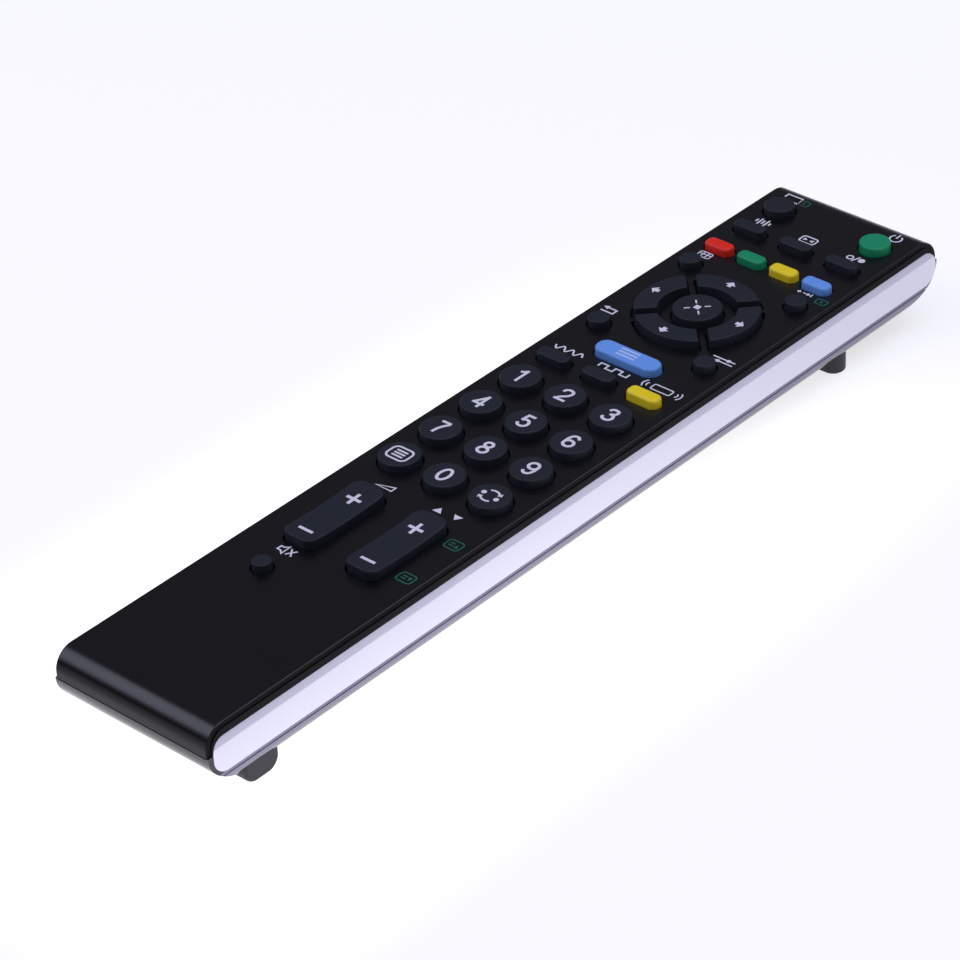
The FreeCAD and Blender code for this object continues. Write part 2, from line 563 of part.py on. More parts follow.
def make_bottom_shell():
    """Black lower case: rounded belly, open inside, with ribs, battery bay and cover opening."""
    body = new_body("bottom_shell")
    lower_form(body)
    sketch = sketch_on(body, "inner_side_view", "YZ_Plane")
    belly_profile(sketch, size("skin_thickness"))
    hollow = half_width - size("belly_side_wall")
    pocket(body, "hollow", sketch, hollow * 2, both_ways=True)
    sketch = sketch_on(body, "upper_bay_outline", "XY_Plane", parting)
    rectangle(sketch, size("side_wall") - half_width, half_width - size("side_wall"),
              size("near_bay_wall") - half_length, half_length - size("far_bay_wall"))
    pocket(body, "upper_bay", sketch, size("upper_bay_depth"))
    sketch = sketch_on(body, "emitter_bed_outline", "XY_Plane", parting)
    bed = size("emitter_radius") + size("emitter_room")
    rectangle(sketch, -bed, bed, half_length - size("far_bay_wall") - over, half_length - size("nose_wall"))
    pocket(body, "emitter_bed", sketch, parting - emitter_z + bed)
    trim_recess(body)
    seam_groove(body)

    sketch = sketch_on(body, "rib_outline", "XY_Plane", inner_belly)
    half_rib = size("rib_thickness") / 2
    rib_end = half_width - size("side_wall") - fit_gap
    for y in RIBS:
        rectangle(sketch, -rib_end, rib_end, y - half_rib, y + half_rib)
    pad(body, "ribs", sketch, board_under - size("rib_gap") - inner_belly)
    wall = size("bay_wall")
    sketch = sketch_on(body, "bay_block_outline", "XY_Plane", inner_belly)
    rectangle(sketch, -bay_half_width - wall, bay_half_width + wall, bay_near - wall, bay_far + wall)
    pad(body, "bay_block", sketch, bay_roof_under + size("bay_roof") - inner_belly)
    sketch = sketch_on(body, "ledge_outline", "XY_Plane", inner_belly)
    ledge = size("cover_width") / 2 + size("cover_gap") + size("ledge_width")
    rectangle(sketch, -ledge, ledge, cover_near - size("cover_gap") - size("ledge_width"),
              hinge_y - size("cover_gap"))
    pad(body, "cover_ledge", sketch, size("ledge_width"))
    sketch = sketch_on(body, "bay_outline", "XY_Plane", bay_roof_under)
    rectangle(sketch, -bay_half_width, bay_half_width, bay_near, bay_far)
    pocket(body, "battery_bay", sketch, bay_roof_under - belly + over)
    sketch = sketch_on(body, "cover_opening_outline", "XY_Plane", belly + size("cover_thickness") + fit_gap)
    reach = size("cover_width") / 2 + size("cover_gap")
    rectangle(sketch, -reach, reach, cover_near - size("cover_gap"),
              hinge_y + size("cover_thickness") + size("cover_gap"))
    pocket(body, "cover_opening", sketch, size("cover_thickness") + fit_gap + over)
    sketch = sketch_on(body, "hinge_opening_outline", "XY_Plane", inner_belly + over)
    rectangle(sketch, -reach, reach, hinge_y - size("cover_gap"),
              hinge_y + size("cover_thickness") + size("cover_gap"))
    pocket(body, "hinge_opening", sketch, size("skin_thickness") + over * 2)

    slot_top = inner_belly + size("ledge_width") + over
    sketch = sketch_on(body, "tab_slot_outline", "XY_Plane", slot_top)
    half_slot = size("tab_width") / 2 + size("cover_gap")
    for side in (-1, 1):
        middle = size("tab_x") * side
        rectangle(sketch, middle - half_slot, middle + half_slot, bay_far + wall, hinge_y)
    latch_y = cover_near + size("latch_setback")
    half_latch = size("latch_width") / 2 + size("cover_gap")
    rectangle(sketch, -half_latch, half_latch, latch_y - size("cover_gap"),
              latch_y + size("latch_thickness") + size("cover_gap"))
    pocket(body, "tab_slots", sketch, size("ledge_width") + size("skin_thickness") + over)
    half_tail = size("contact_tail") / 2 + size("bay_side_room")
    sketch = sketch_on(body, "tail_slot_outline", "XY_Plane", bay_roof_under + size("bay_roof") + over)
    for side in (-1, 1):
        middle = size("cell_pitch") / 2 * side
        rectangle(sketch, middle - half_tail, middle + half_tail,
                  bay_far - size("contact_thickness") - size("bay_side_room"), bay_far)
    pocket(body, "tail_slots", sketch, size("bay_roof") + over * 2)
    inner_wall = half_width - size("side_wall")
    catch = inner_wall + size("hook_catch")
    catch_top = parting - size("hook_reach") + size("hook_catch_height")
    sketch = sketch_on(body, "catch_outline", "XY_Plane", catch_top)
    half_hook = size("hook_width") / 2 + size("hook_gap")
    for side in (-1, 1):
        for y in HOOKS:
            loop(sketch, [((inner_wall - over) * side, y - half_hook), (catch * side, y - half_hook),
                          (catch * side, y + half_hook), ((inner_wall - over) * side, y + half_hook)])
    pocket(body, "catch_pockets", sketch, size("hook_catch_height") + size("hook_gap"))


def make_side_trims():
    """Bright strips along the sides, with a sloped upper edge."""
    for label, side in (("left_side_trim", -1), ("right_side_trim", 1)):
        body = new_body(label)
        sketch = sketch_on(body, label + "_outline", "YZ_Plane", recess_x * side)
        trim_profile(sketch, ZERO)
        pad(body, label + "_strip", sketch, size("trim_thickness"), downward=side < 0)
        outer = recess_x + size("trim_thickness")
        high = top - size("trim_depth")
        bevel = outer - size("trim_bevel_depth")
        low = high - size("trim_bevel_height")
        sketch = sketch_on(body, label + "_bevel_outline", "XZ_Plane")
        loop(sketch, [(bevel * side, high + over), (bevel * side, high), (outer * side, low),
                      ((outer + over) * side, low), ((outer + over) * side, high + over)])
        pocket(body, label + "_bevel", sketch, size("body_length") * 2, both_ways=True)


def make_window():
    """Dark infrared window, flush with the nose of the upper case."""
    body = new_body("infrared_window")
    sketch = sketch_on(body, "window_side_view", "YZ_Plane")
    nose = size("nose_round")
    window_top = top - size("window_depth")
    reach = half_length - nose + other_leg(nose, nose - size("window_depth"))
    inner = half_length - size("nose_wall")
    loop(sketch, [
        (inner, parting), (half_length, parting), (half_length, top - nose, nose), (reach, window_top),
        (inner, window_top)])
    pad(body, "window", sketch, size("window_width"), both_ways=True)


def make_emitter():
    """Infrared emitter: domed capsule with two leads that lie on the board's underside."""
    body = new_body("infrared_emitter")
    lead = size("emitter_lead")
    back = board_far + size("emitter_gap")
    shoulder = back + size("emitter_flange")
    neck = shoulder + size("emitter_length")
    radius = size("emitter_radius")
    sketch = sketch_on(body, "emitter_half_view", "YZ_Plane")
    flange = size("emitter_flange_radius")
    loop(sketch, [
        (back, emitter_z), (neck + radius, emitter_z, radius), (neck, emitter_z + radius),
        (shoulder, emitter_z + radius), (shoulder, emitter_z + flange), (back, emitter_z + flange)])
    axis = sketch.addGeometry(Part.LineSegment(
        FreeCAD.Vector(0, emitter_z.value, 0), FreeCAD.Vector(1, emitter_z.value, 0)), True)
    sketch.addConstraint(Sketcher.Constraint("Horizontal", axis))
    bind(sketch, [("DistanceY", (axis, 1), emitter_z)])
    capsule = body.newObject("PartDesign::Revolution", "capsule")
    capsule.Profile = sketch
    capsule.ReferenceAxis = (sketch, ["Axis0"])
    body.Tip = capsule
    sketch = sketch_on(body, "emitter_leads_outline", "XY_Plane", board_under - lead)
    for side in (-1, 1):
        middle = size("emitter_lead_spread") * side
        rectangle(sketch, middle - lead / 2, middle + lead / 2, board_far - size("emitter_lead_length"),
                  back + size("emitter_flange") / 2)
    pad(body, "leads", sketch, lead)


def key_stack(body, rise, cap, flange, corner=None, soft=False):
    """Tapered cap through the panel, and the flange that holds it under the panel."""
    label = body.Label
    sketch = sketch_on(body, label + "_cap_outline", "XY_Plane", key_seat)
    cap(sketch)
    shape = pad(body, label + "_cap", sketch, top + rise - key_seat, taper=size("key_draft"))
    if corner is not None:
        shape = fillet(body, label + "_corners", shape, corner, lambda edge: edge.BoundBox.ZLength > 1)
    key_top = (top + rise).value
    radius = size("soft_edge_round") if soft else size("edge_round")
    fillet(body, label + "_top_edge", shape, radius, lambda edge: lies_at(edge, key_top))
    sketch = sketch_on(body, label + "_flange_outline", "XY_Plane", key_seat - size("flange_thickness"))
    flange(sketch)
    pad(body, label + "_flange", sketch, size("flange_thickness"))


def plunger(body, y=ZERO):
    """Round foot that presses the board's contact when the key is down."""
    foot = board_top + size("key_travel") + size("stop_gap")
    sketch = sketch_on(body, body.Label + "_plunger_outline", "XY_Plane", foot)
    circle(sketch, size("plunger_radius"), ZERO, y)
    pad(body, body.Label + "_plunger", sketch, key_seat - size("flange_thickness") - foot)


def place(body, x, y, quarter_turns=0):
    turn = FreeCAD.Rotation(FreeCAD.Vector(0, 0, 1), 90 * quarter_turns)
    body.Placement = FreeCAD.Placement(FreeCAD.Vector(x.value, y.value, 0), turn)
    body.setExpression("Placement.Base.x", x.expression)
    body.setExpression("Placement.Base.y", y.expression)


def make_keys():
    margin = size("flange_margin")
    for label, x, y, radius, rise in ROUND_KEYS:
        body = new_body(label)
        key_stack(body, rise, lambda sketch: circle(sketch, radius),
                  lambda sketch: circle(sketch, radius + margin))
        plunger(body)
        place(body, x, y)
    for label, x, y, length, width, corner, rise, soft in OBLONG_KEYS:
        body = new_body(label)
        key_stack(body, rise, lambda sketch: rounded(sketch, length, width, corner),
                  lambda sketch: rounded(sketch, length + margin * 2, width + margin * 2, corner + margin),
                  soft=soft)
        plunger(body)
        place(body, x, y)
    inner, outer = size("ring_inner"), size("ring_outer")
    side = size("spoke_width") / 2 + size("key_gap")
    lip = size("ring_gap") + size("key_gap")
    for label, turns in RING_KEYS:
        body = new_body(label)
        key_stack(body, size("ring_rise"), lambda sketch: sector(sketch, inner, outer, side),
                  lambda sketch: sector(sketch, inner - lip, outer + lip, size("key_gap")),
                  corner=size("ring_corner"))
        plunger(body, (inner + outer) / 2)
        place(body, ZERO, ring_y, turns)


def make_rockers():
    """Long keys that tilt on a ridge over the board; their tops dip in the middle."""
    half = size("rocker_length") / 2
    flange_top = under_plate - size("rocker_drop")
    key_top = top + size("rocker_rise")
    dip = size("rocker_dip")
    saddle = (half * half + dip * dip) / (dip * 2)
    lip = size("rocker_gap") + size("rocker_lip")
    ridge = size("pivot_radius")
    pivot = board_top + size("stop_gap") + ridge
    for label, side in ROCKERS:
        body = new_body(label)
        sketch = sketch_on(body, label + "_side_view", "YZ_Plane")
        loop(sketch, [(-half, flange_top), (half, flange_top), (half, key_top, -saddle), (-half, key_top)])
        block = pad(body, label + "_block", sketch, size("rocker_width"), both_ways=True)
        upright = fillet(body, label + "_corners", block, size("rocker_corner"),
                         lambda edge: edge.BoundBox.ZLength > 1 and edge.BoundBox.YLength < 1e-4)
        middle = (flange_top + 1).value
        fillet(body, label + "_top_edge", upright, size("edge_round"),
               lambda edge: edge.BoundBox.ZMin > middle)
        sketch = sketch_on(body, label + "_flange_outline", "XY_Plane", flange_top - size("rocker_flange"))
        rounded(sketch, size("rocker_width") + lip * 2, size("rocker_length") + lip * 2,
                size("rocker_corner") + lip)
        pad(body, label + "_flange", sketch, size("rocker_flange"))
        sketch = sketch_on(body, label + "_ridge_view", "YZ_Plane")
        seat = flange_top - size("rocker_flange")
        loop(sketch, [(-ridge, pivot, ridge), (ZERO, pivot - ridge, ridge), (ridge, pivot), (ridge, seat),
                      (-ridge, seat)])
        pad(body, label + "_ridge", sketch, size("rocker_width"), both_ways=True)
        place(body, size("rocker_x") * side, rocker_y)


def make_mat():
    """Silicone sheet on the board, with a hole round every plunger and post."""
    body = new_body("keypad_mat")
    sketch = sketch_on(body, "mat_outline", "XY_Plane", board_top)
    rectangle(sketch, -board_half, board_half, board_near, board_far)
    pad(body, "mat", sketch, size("mat_thickness"))
    sketch = sketch_on(body, "plunger_holes_outline", "XY_Plane", mat_top)
    hole = size("plunger_radius") + size("plunger_clearance")
    for _, x, y, _, _ in ROUND_KEYS:
        circle(sketch, hole, x, y)
    for _, x, y, _, _, _, _, _ in OBLONG_KEYS:
        circle(sketch, hole, x, y)
    middle = (size("ring_inner") + size("ring_outer")) / 2
    for dx, dy in ((0, 1), (-1, 0), (0, -1), (1, 0)):
        circle(sketch, hole, middle * dx, ring_y + middle * dy)
    pocket(body, "plunger_holes", sketch, size("mat_thickness"))
    sketch = sketch_on(body, "post_holes_outline", "XY_Plane", mat_top)
    for x, y in POSTS:
        circle(sketch, size("post_radius") + size("plunger_clearance"), x, y)
    lip = size("rocker_gap") + size("rocker_lip") + size("key_gap")
    for _, side in ROCKERS:
        rounded(sketch, size("rocker_width") + lip * 2, size("rocker_length") + lip * 2,
                size("rocker_corner") + lip, size("rocker_x") * side, rocker_y)
    pocket(body, "post_holes", sketch, size("mat_thickness"))


def make_board():
    body = new_body("circuit_board")
    sketch = sketch_on(body, "board_outline", "XY_Plane", board_under)
    rectangle(sketch, -board_half, board_half, board_near, board_far)
    for x, y in SCREWED_POSTS:
        circle(sketch, size("screw_radius") + fit_gap, x, y)
    pad(body, "board", sketch, size("board_thickness"))


def make_screws():
    """Small slotted screws, driven up through the board into the posts."""
    body = new_body("board_screws")
    head_under = board_under - size("screw_head_height")
    sketch = sketch_on(body, "screw_head_outline", "XY_Plane", head_under)
    for x, y in SCREWED_POSTS:
        circle(sketch, size("screw_head_radius"), x, y)
    pad(body, "screw_heads", sketch, size("screw_head_height"))
    sketch = sketch_on(body, "screw_shank_outline", "XY_Plane", board_under)
    for x, y in SCREWED_POSTS:
        circle(sketch, size("screw_radius"), x, y)
    pad(body, "screw_shanks", sketch, size("screw_length"))
    sketch = sketch_on(body, "screw_slot_outline", "XY_Plane", head_under)
    half_slot = size("screw_slot") / 2
    for x, y in SCREWED_POSTS:
        rectangle(sketch, x - size("screw_head_radius"), x + size("screw_head_radius"),
                  y - half_slot, y + half_slot)
    pocket(body, "screw_slots", sketch, size("screw_slot"), with_normal=True)


def make_electronics():
    """What is soldered under the board."""
    body = new_body("control_chip")
    half_long, half_wide = size("chip_length") / 2, size("chip_width") / 2
    lead = size("lead_thickness")
    sketch = sketch_on(body, "chip_outline", "XY_Plane", board_under - size("chip_height"))
    rectangle(sketch, -half_long, half_long, chip_y - half_wide, chip_y + half_wide)
    pad(body, "chip", sketch, size("chip_height") - size("stop_gap"))
    sketch = sketch_on(body, "chip_leads_outline", "XY_Plane", board_under - size("chip_height") / 2)
    pitch = size("lead_pitch")
    reach = half_wide + size("lead_reach")
    for place_along in range(-3, 5):
        x = pitch * (place_along - 0.5)
        rectangle(sketch, x - lead / 2, x + lead / 2, chip_y - reach, chip_y + reach)
    pad(body, "chip_leads", sketch, lead)
    sketch = sketch_on(body, "chip_feet_outline", "XY_Plane", board_under)
    for place_along in range(-3, 5):
        x = pitch * (place_along - 0.5)
        for side in (-1, 1):
            rectangle(sketch, x - lead / 2, x + lead / 2, chip_y + (reach - lead) * side,
                      chip_y + reach * side)
    pad(body, "chip_feet", sketch, size("chip_height") / 2, downward=True)

    body = new_body("resonator")
    sketch = sketch_on(body, "resonator_outline", "XY_Plane", board_under)
    rounded(sketch, size("resonator_width"), size("resonator_length"), size("resonator_corner"),
            size("resonator_x"), capacitor_y)
    pad(body, "resonator_block", sketch, size("resonator_height"), downward=True)

    body = new_body("capacitor")
    sketch = sketch_on(body, "capacitor_outline", "XY_Plane", board_under)
    circle(sketch, size("capacitor_radius"), size("capacitor_x"), capacitor_y)
    can = pad(body, "can", sketch, size("capacitor_height"), downward=True)
    base = (board_under - size("capacitor_height")).value
    fillet(body, "can_edge", can, size("edge_round"), lambda edge: lies_at(edge, base))


def make_cells():
    """Two AAA cells, head to tail."""
    body_length = size("cell_length") - size("cell_nub_height")
    for label, side in (("battery_left", -1), ("battery_right", 1)):
        body = new_body(label)
        sketch = sketch_on(body, label + "_can_outline", "XZ_Plane", ZERO)
        circle(sketch, size("cell_radius"), ZERO, ZERO)
        can = pad(body, label + "_can", sketch, body_length, both_ways=True)
        fillet(body, label + "_can_edges", can, size("cell_edge"),
               lambda edge: edge.BoundBox.YLength < 1e-4 and edge.BoundBox.XLength > 1)
        sketch = sketch_on(body, label + "_nub_outline", "XZ_Plane", body_length / 2)
        circle(sketch, size("cell_nub_radius"), ZERO, ZERO)
        pad(body, label + "_nub", sketch, size("cell_nub_height"))
        # The pad above points to -Y, so the left cell is turned to bring its nub to the far end
        turn = FreeCAD.Rotation(FreeCAD.Vector(0, 0, 1), 180 if side < 0 else 0)
        x = size("cell_pitch") / 2 * side
        y = bay_zero + size("bay_y") + size("cell_nub_height") / 2 * side
        body.Placement = FreeCAD.Placement(FreeCAD.Vector(x.value, y.value, cell_z.value), turn)
        body.setExpression("Placement.Base.x", x.expression)
        body.setExpression("Placement.Base.y", y.expression)
        body.setExpression("Placement.Base.z", cell_z.expression)


def contact_plate(body, left, right, wall_y, near_end):
    """Sheet metal plate flat against an end wall of the battery bay."""
    half_high = size("contact_height") / 2
    sketch = sketch_on(body, body.Label + "_plate_outline", "XZ_Plane", -wall_y)
    rectangle(sketch, left, right, cell_z - half_high, cell_z + half_high)
    pad(body, body.Label + "_plate", sketch, size("contact_thickness"), downward=near_end)


def contact_boss(body, x, wall_y, near_end):
    """Pressed dome that meets the nub of a cell."""
    face_y = wall_y + size("contact_thickness") * (1 if near_end else -1)
    sketch = sketch_on(body, body.Label + "_boss_outline", "XZ_Plane", -face_y)
    circle(sketch, size("contact_boss_radius"), x, cell_z)
    height = size("bay_end_room") - size("contact_thickness") - size("contact_gap")
    pad(body, body.Label + "_boss", sketch, height, taper=size("contact_boss_draft"), downward=near_end)


def contact_leaf(body, x, wall_y, near_end):
    """Bent leaf that pushes on the flat end of a cell."""
    way = 1 if near_end else -1
    thick = size("contact_thickness")
    half_high = size("contact_height") / 2
    reach = size("bay_end_room") - size("contact_gap")
    low, high = cell_z - half_high, cell_z + half_high
    corners = [
        (wall_y, low), (wall_y + thick * way, low), (wall_y + reach * way, cell_z),
        (wall_y + (reach - thick * 2) * way, high - thick),
        (wall_y + (reach - thick * 3) * way, high - thick),
        (wall_y + (reach - thick) * way, cell_z), (wall_y, low + thick * 2)]
    sketch = sketch_on(body, body.Label + "_leaf_view", "YZ_Plane", x)
    loop(sketch, corners if near_end else corners[:1] + corners[:0:-1])
    pad(body, body.Label + "_leaf", sketch, size("contact_leaf_width"), both_ways=True)


def contact_tail(body, x):
    """Strip that runs up through the bay's roof to the board."""
    half_tail = size("contact_tail") / 2
    sketch = sketch_on(body, body.Label + "_tail_outline", "XZ_Plane", -bay_far)
    rectangle(sketch, x - half_tail, x + half_tail, cell_z, board_under)
    pad(body, body.Label + "_tail", sketch, size("contact_thickness"))


def make_contacts():
    """Two contacts with tails at the far end and one that bridges the cells at the near end."""
    left, right = -(size("cell_pitch") / 2), size("cell_pitch") / 2
    half_wide = size("contact_width") / 2
    body = new_body("positive_contact")
    contact_plate(body, left - half_wide, left + half_wide, bay_far, False)
    contact_boss(body, left, bay_far, False)
    contact_tail(body, left)
    body = new_body("negative_contact")
    contact_plate(body, right - half_wide, right + half_wide, bay_far, False)
    contact_leaf(body, right, bay_far, False)
    contact_tail(body, right)
    body = new_body("bridge_contact")
    contact_plate(body, left - half_wide, right + half_wide, bay_near, True)
    contact_boss(body, right, bay_near, True)
    contact_leaf(body, left, bay_near, True)


def make_battery_cover():
    """Flush cover that swings on its rounded far edge, hooked over the case by two tabs."""
    body = new_body("battery_cover")
    near, hinge, thick = cover_near, hinge_y, size("cover_thickness")
    inside = belly + thick
    sketch = sketch_on(body, "cover_side_view", "YZ_Plane")
    loop(sketch, [(near, belly), (hinge, belly, thick), (hinge + thick, inside), (near, inside)])
    pad(body, "cover_plate", sketch, size("cover_width"), both_ways=True)
    lift = inside + size("tab_lift")
    high = lift + size("tab_thickness")
    root, reach = hinge - size("tab_root"), hinge + size("tab_reach")
    for side, name in ((-1, "left"), (1, "right")):
        sketch = sketch_on(body, name + "_tab_view", "YZ_Plane", size("tab_x") * side)
        loop(sketch, [(root, inside), (hinge + thick, inside), (hinge + thick, lift), (reach, lift),
                      (reach, high), (root, high)])
        pad(body, name + "_tab", sketch, size("tab_width"), both_ways=True)
    latch_y = near + size("latch_setback")
    half_latch = size("latch_width") / 2
    sketch = sketch_on(body, "latch_outline", "XY_Plane", inside)
    rectangle(sketch, -half_latch, half_latch, latch_y, latch_y + size("latch_thickness"))
    pad(body, "latch", sketch, size("latch_height"))
    sketch = sketch_on(body, "grip_outline", "XY_Plane", belly)
    half_grip = size("grip_width") / 2
    for step in range(1, 5):
        y = near + size("grip_pitch") * step
        rectangle(sketch, -half_grip, half_grip, y, y + size("grip_groove"))
    pocket(body, "grip_grooves", sketch, size("grip_depth"), with_normal=True)


def make_feet():
    """Two cross bars under the case, trimmed to its belly."""
    case_form = new_body("case_form", kept=False)
    lower_form(case_form)
    reach = half_width - size("foot_side_gap")
    high = belly + size("flank_round")

    near_block = new_body("near_foot_block", kept=False)
    sketch = sketch_on(near_block, "near_foot_side_view", "YZ_Plane")
    curve = size("near_foot_round")
    near = cover_near - size("near_foot_gap") - size("near_foot_length") / 2
    far = near + size("near_foot_length")
    loop(sketch, [(near + curve, ZERO), (far - curve, ZERO, curve), (far, curve), (far, high), (near, high),
                  (near, curve, curve)])
    bar = pad(near_block, "near_foot_bar", sketch, reach * 2, both_ways=True)
    fillet(near_block, "near_foot_ends", bar, size("near_foot_edge"),
           lambda edge: edge.BoundBox.XLength < 1e-4 and not lies_at(edge, high.value))

    far_block = new_body("far_foot_block", kept=False)
    sketch = sketch_on(far_block, "far_foot_outline", "XY_Plane")
    rounded(sketch, reach * 2, size("far_foot_length"), size("far_foot_corner"), ZERO,
            keypad_zero + size("far_foot_y"))
    bar = pad(far_block, "far_foot_bar", sketch, high)
    fillet(far_block, "far_foot_edge", bar, size("far_foot_round"), lambda edge: lies_at(edge, 0))

    for label, block in (("near_foot", near_block), ("far_foot", far_block)):
        foot = doc.addObject("Part::Cut", label)
        foot.Label = label
        foot.Base = block
        foot.Tool = case_form
        pieces.append(foot)


def write_pieces():
    """Stops if anything failed to build, and otherwise writes one file for each piece."""
    doc.recompute()
    for item in doc.Objects:
        if "Invalid" in item.State or "Error" in item.State:
            raise RuntimeError("%s did not build: %s" % (item.Label, item.State))
    for piece in pieces:
        if piece.Shape.isNull() or not piece.Shape.isValid() or not piece.Shape.Solids:
            raise RuntimeError("%s has no valid solid" % piece.Label)
        box = piece.Shape.BoundBox
        print("%-18s %d solid  %9.1f mm3  Z %.2f to %.2f" % (
            piece.Label, len(piece.Shape.Solids), piece.Shape.Volume, box.ZMin, box.ZMax))
    os.makedirs("parts", exist_ok=True)
    for piece in pieces:
        piece.Shape.exportStep("parts/%s.step" % piece.Label)


make_top_shell()
make_bottom_shell()
make_side_trims()
make_window()
make_emitter()
make_keys()
make_rockers()
make_mat()
make_board()
make_screws()
make_electronics()
make_cells()
make_contacts()
make_battery_cover()
make_feet()
write_pieces()
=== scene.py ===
import json
import math

import bmesh
import bpy
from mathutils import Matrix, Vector
from mathutils.geometry import convex_hull_2d


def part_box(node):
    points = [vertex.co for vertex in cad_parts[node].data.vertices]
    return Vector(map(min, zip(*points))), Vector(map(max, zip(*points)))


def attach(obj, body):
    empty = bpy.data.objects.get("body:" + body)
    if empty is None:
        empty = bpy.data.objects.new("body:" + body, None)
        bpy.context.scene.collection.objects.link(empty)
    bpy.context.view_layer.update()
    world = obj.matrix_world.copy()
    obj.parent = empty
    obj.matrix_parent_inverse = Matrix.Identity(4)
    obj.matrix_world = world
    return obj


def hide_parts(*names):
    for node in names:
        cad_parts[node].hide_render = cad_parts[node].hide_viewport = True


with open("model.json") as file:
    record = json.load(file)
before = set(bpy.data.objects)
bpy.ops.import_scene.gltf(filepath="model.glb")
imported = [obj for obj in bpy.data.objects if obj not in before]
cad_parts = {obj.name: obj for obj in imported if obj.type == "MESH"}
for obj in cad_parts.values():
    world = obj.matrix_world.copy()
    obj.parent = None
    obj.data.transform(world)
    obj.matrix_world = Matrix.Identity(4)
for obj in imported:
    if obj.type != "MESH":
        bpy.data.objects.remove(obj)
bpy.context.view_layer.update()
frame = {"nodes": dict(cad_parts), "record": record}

MM = 0.001

# Heights above the table and places on the remote, in millimetres
PANEL_TOP = 21.5
NUMBER_TOP = 23.45
SELECT_TOP = 23.65
RING_TOP = 23.7
MENU_TOP = 23.3
ROCKER_TOP = 23.95
JOINT_LOW = 14.9
JOINT_HIGH = 15.25
JOINT_PROUD = 0.01
JOINT_DEPTH = 0.2
COLUMN_PITCH = 12.7
ROW_PITCH = 12.94
FIRST_ROW = 12.86
RING_Y = 58.0
ARROW_RADIUS = 11.77
MENU_Y = 34.0
ROCKER_X = 8.7
ROCKER_Y = -50.3
ROCKER_LENGTH = 24.0
ROCKER_DIP = 0.55
PLUS_Y = -44.45
MINUS_Y = -58.85

# Ink: thickness of the film, and height and stroke of the numerals, in millimetres
INK = 0.03
NUMERAL_HEIGHT = 4.9
NUMERAL_WEIGHT = 0.72


# Materials

def linear(hex_colour):
    """An sRGB hex colour as the linear RGBA that the shaders take."""
    channels = [int(hex_colour[place:place + 2], 16) / 255 for place in (1, 3, 5)]
    return [c / 12.92 if c <= 0.04045 else ((c + 0.055) / 1.055) ** 2.4 for c in channels] + [1.0]


def add(tree, kind, settings=None, links=None):
    """Adds a node; settings are its properties or socket values, links go from sockets to its inputs."""
    node = tree.nodes.new(kind)
    for name, value in (settings or {}).items():
        if isinstance(name, str) and hasattr(node, name):
            setattr(node, name, value)
        else:
            node.inputs[name].default_value = value
    for name, source in (links or {}).items():
        tree.links.new(source, node.inputs[name])
    return node


# Patches of uneven polish and shade are about this wide, in millimetres
PATCH_MM = 14.0


def moulded(name, colour, roughness, grain_mm, grain_depth, rough_swing=0.06, tint=0.12, coat=0.0,
            metallic=0.0, specular=0.5):
    """Moulded or painted surface: base colour with a faint mottle, fine grain, uneven polish.

    The real grain of such surfaces is 0.02 to 0.1 mm wide, too fine to show, so grain_mm draws it coarser.
    """
    material = bpy.data.materials.new(name)
    material.use_nodes = True
    tree = material.node_tree
    tree.nodes.clear()
    place = add(tree, "ShaderNodeTexCoord").outputs["Object"]
    patches = add(tree, "ShaderNodeTexNoise", {"Scale": 1000 / PATCH_MM, "Detail": 3.0}, {"Vector": place})
    grain = add(tree, "ShaderNodeTexNoise", {"Scale": 1000 / grain_mm, "Detail": 2.0}, {"Vector": place})
    base = linear(colour)
    darker = [channel * (1 - tint) for channel in base[:3]] + [1.0]
    lighter = [min(channel * (1 + tint), 1.0) for channel in base[:3]] + [1.0]
    mottle = add(tree, "ShaderNodeMix", {"data_type": "RGBA"}, {0: patches.outputs["Fac"]})
    mottle.inputs[6].default_value = darker
    mottle.inputs[7].default_value = lighter
    polish = add(tree, "ShaderNodeMapRange",
                 {"To Min": roughness - rough_swing, "To Max": roughness + rough_swing},
                 {"Value": patches.outputs["Fac"]})
    bump = add(tree, "ShaderNodeBump", {"Strength": 0.5, "Distance": grain_depth * MM},
               {"Height": grain.outputs["Fac"]})
    shader = add(tree, "ShaderNodeBsdfPrincipled",
                 {"Metallic": metallic, "Specular IOR Level": specular, "Coat Weight": coat,
                  "Coat Roughness": 0.08},
                 {"Base Color": mottle.outputs[2], "Roughness": polish.outputs[0], "Normal": bump.outputs[0]})
    add(tree, "ShaderNodeOutputMaterial", links={"Surface": shader.outputs[0]})
    return material


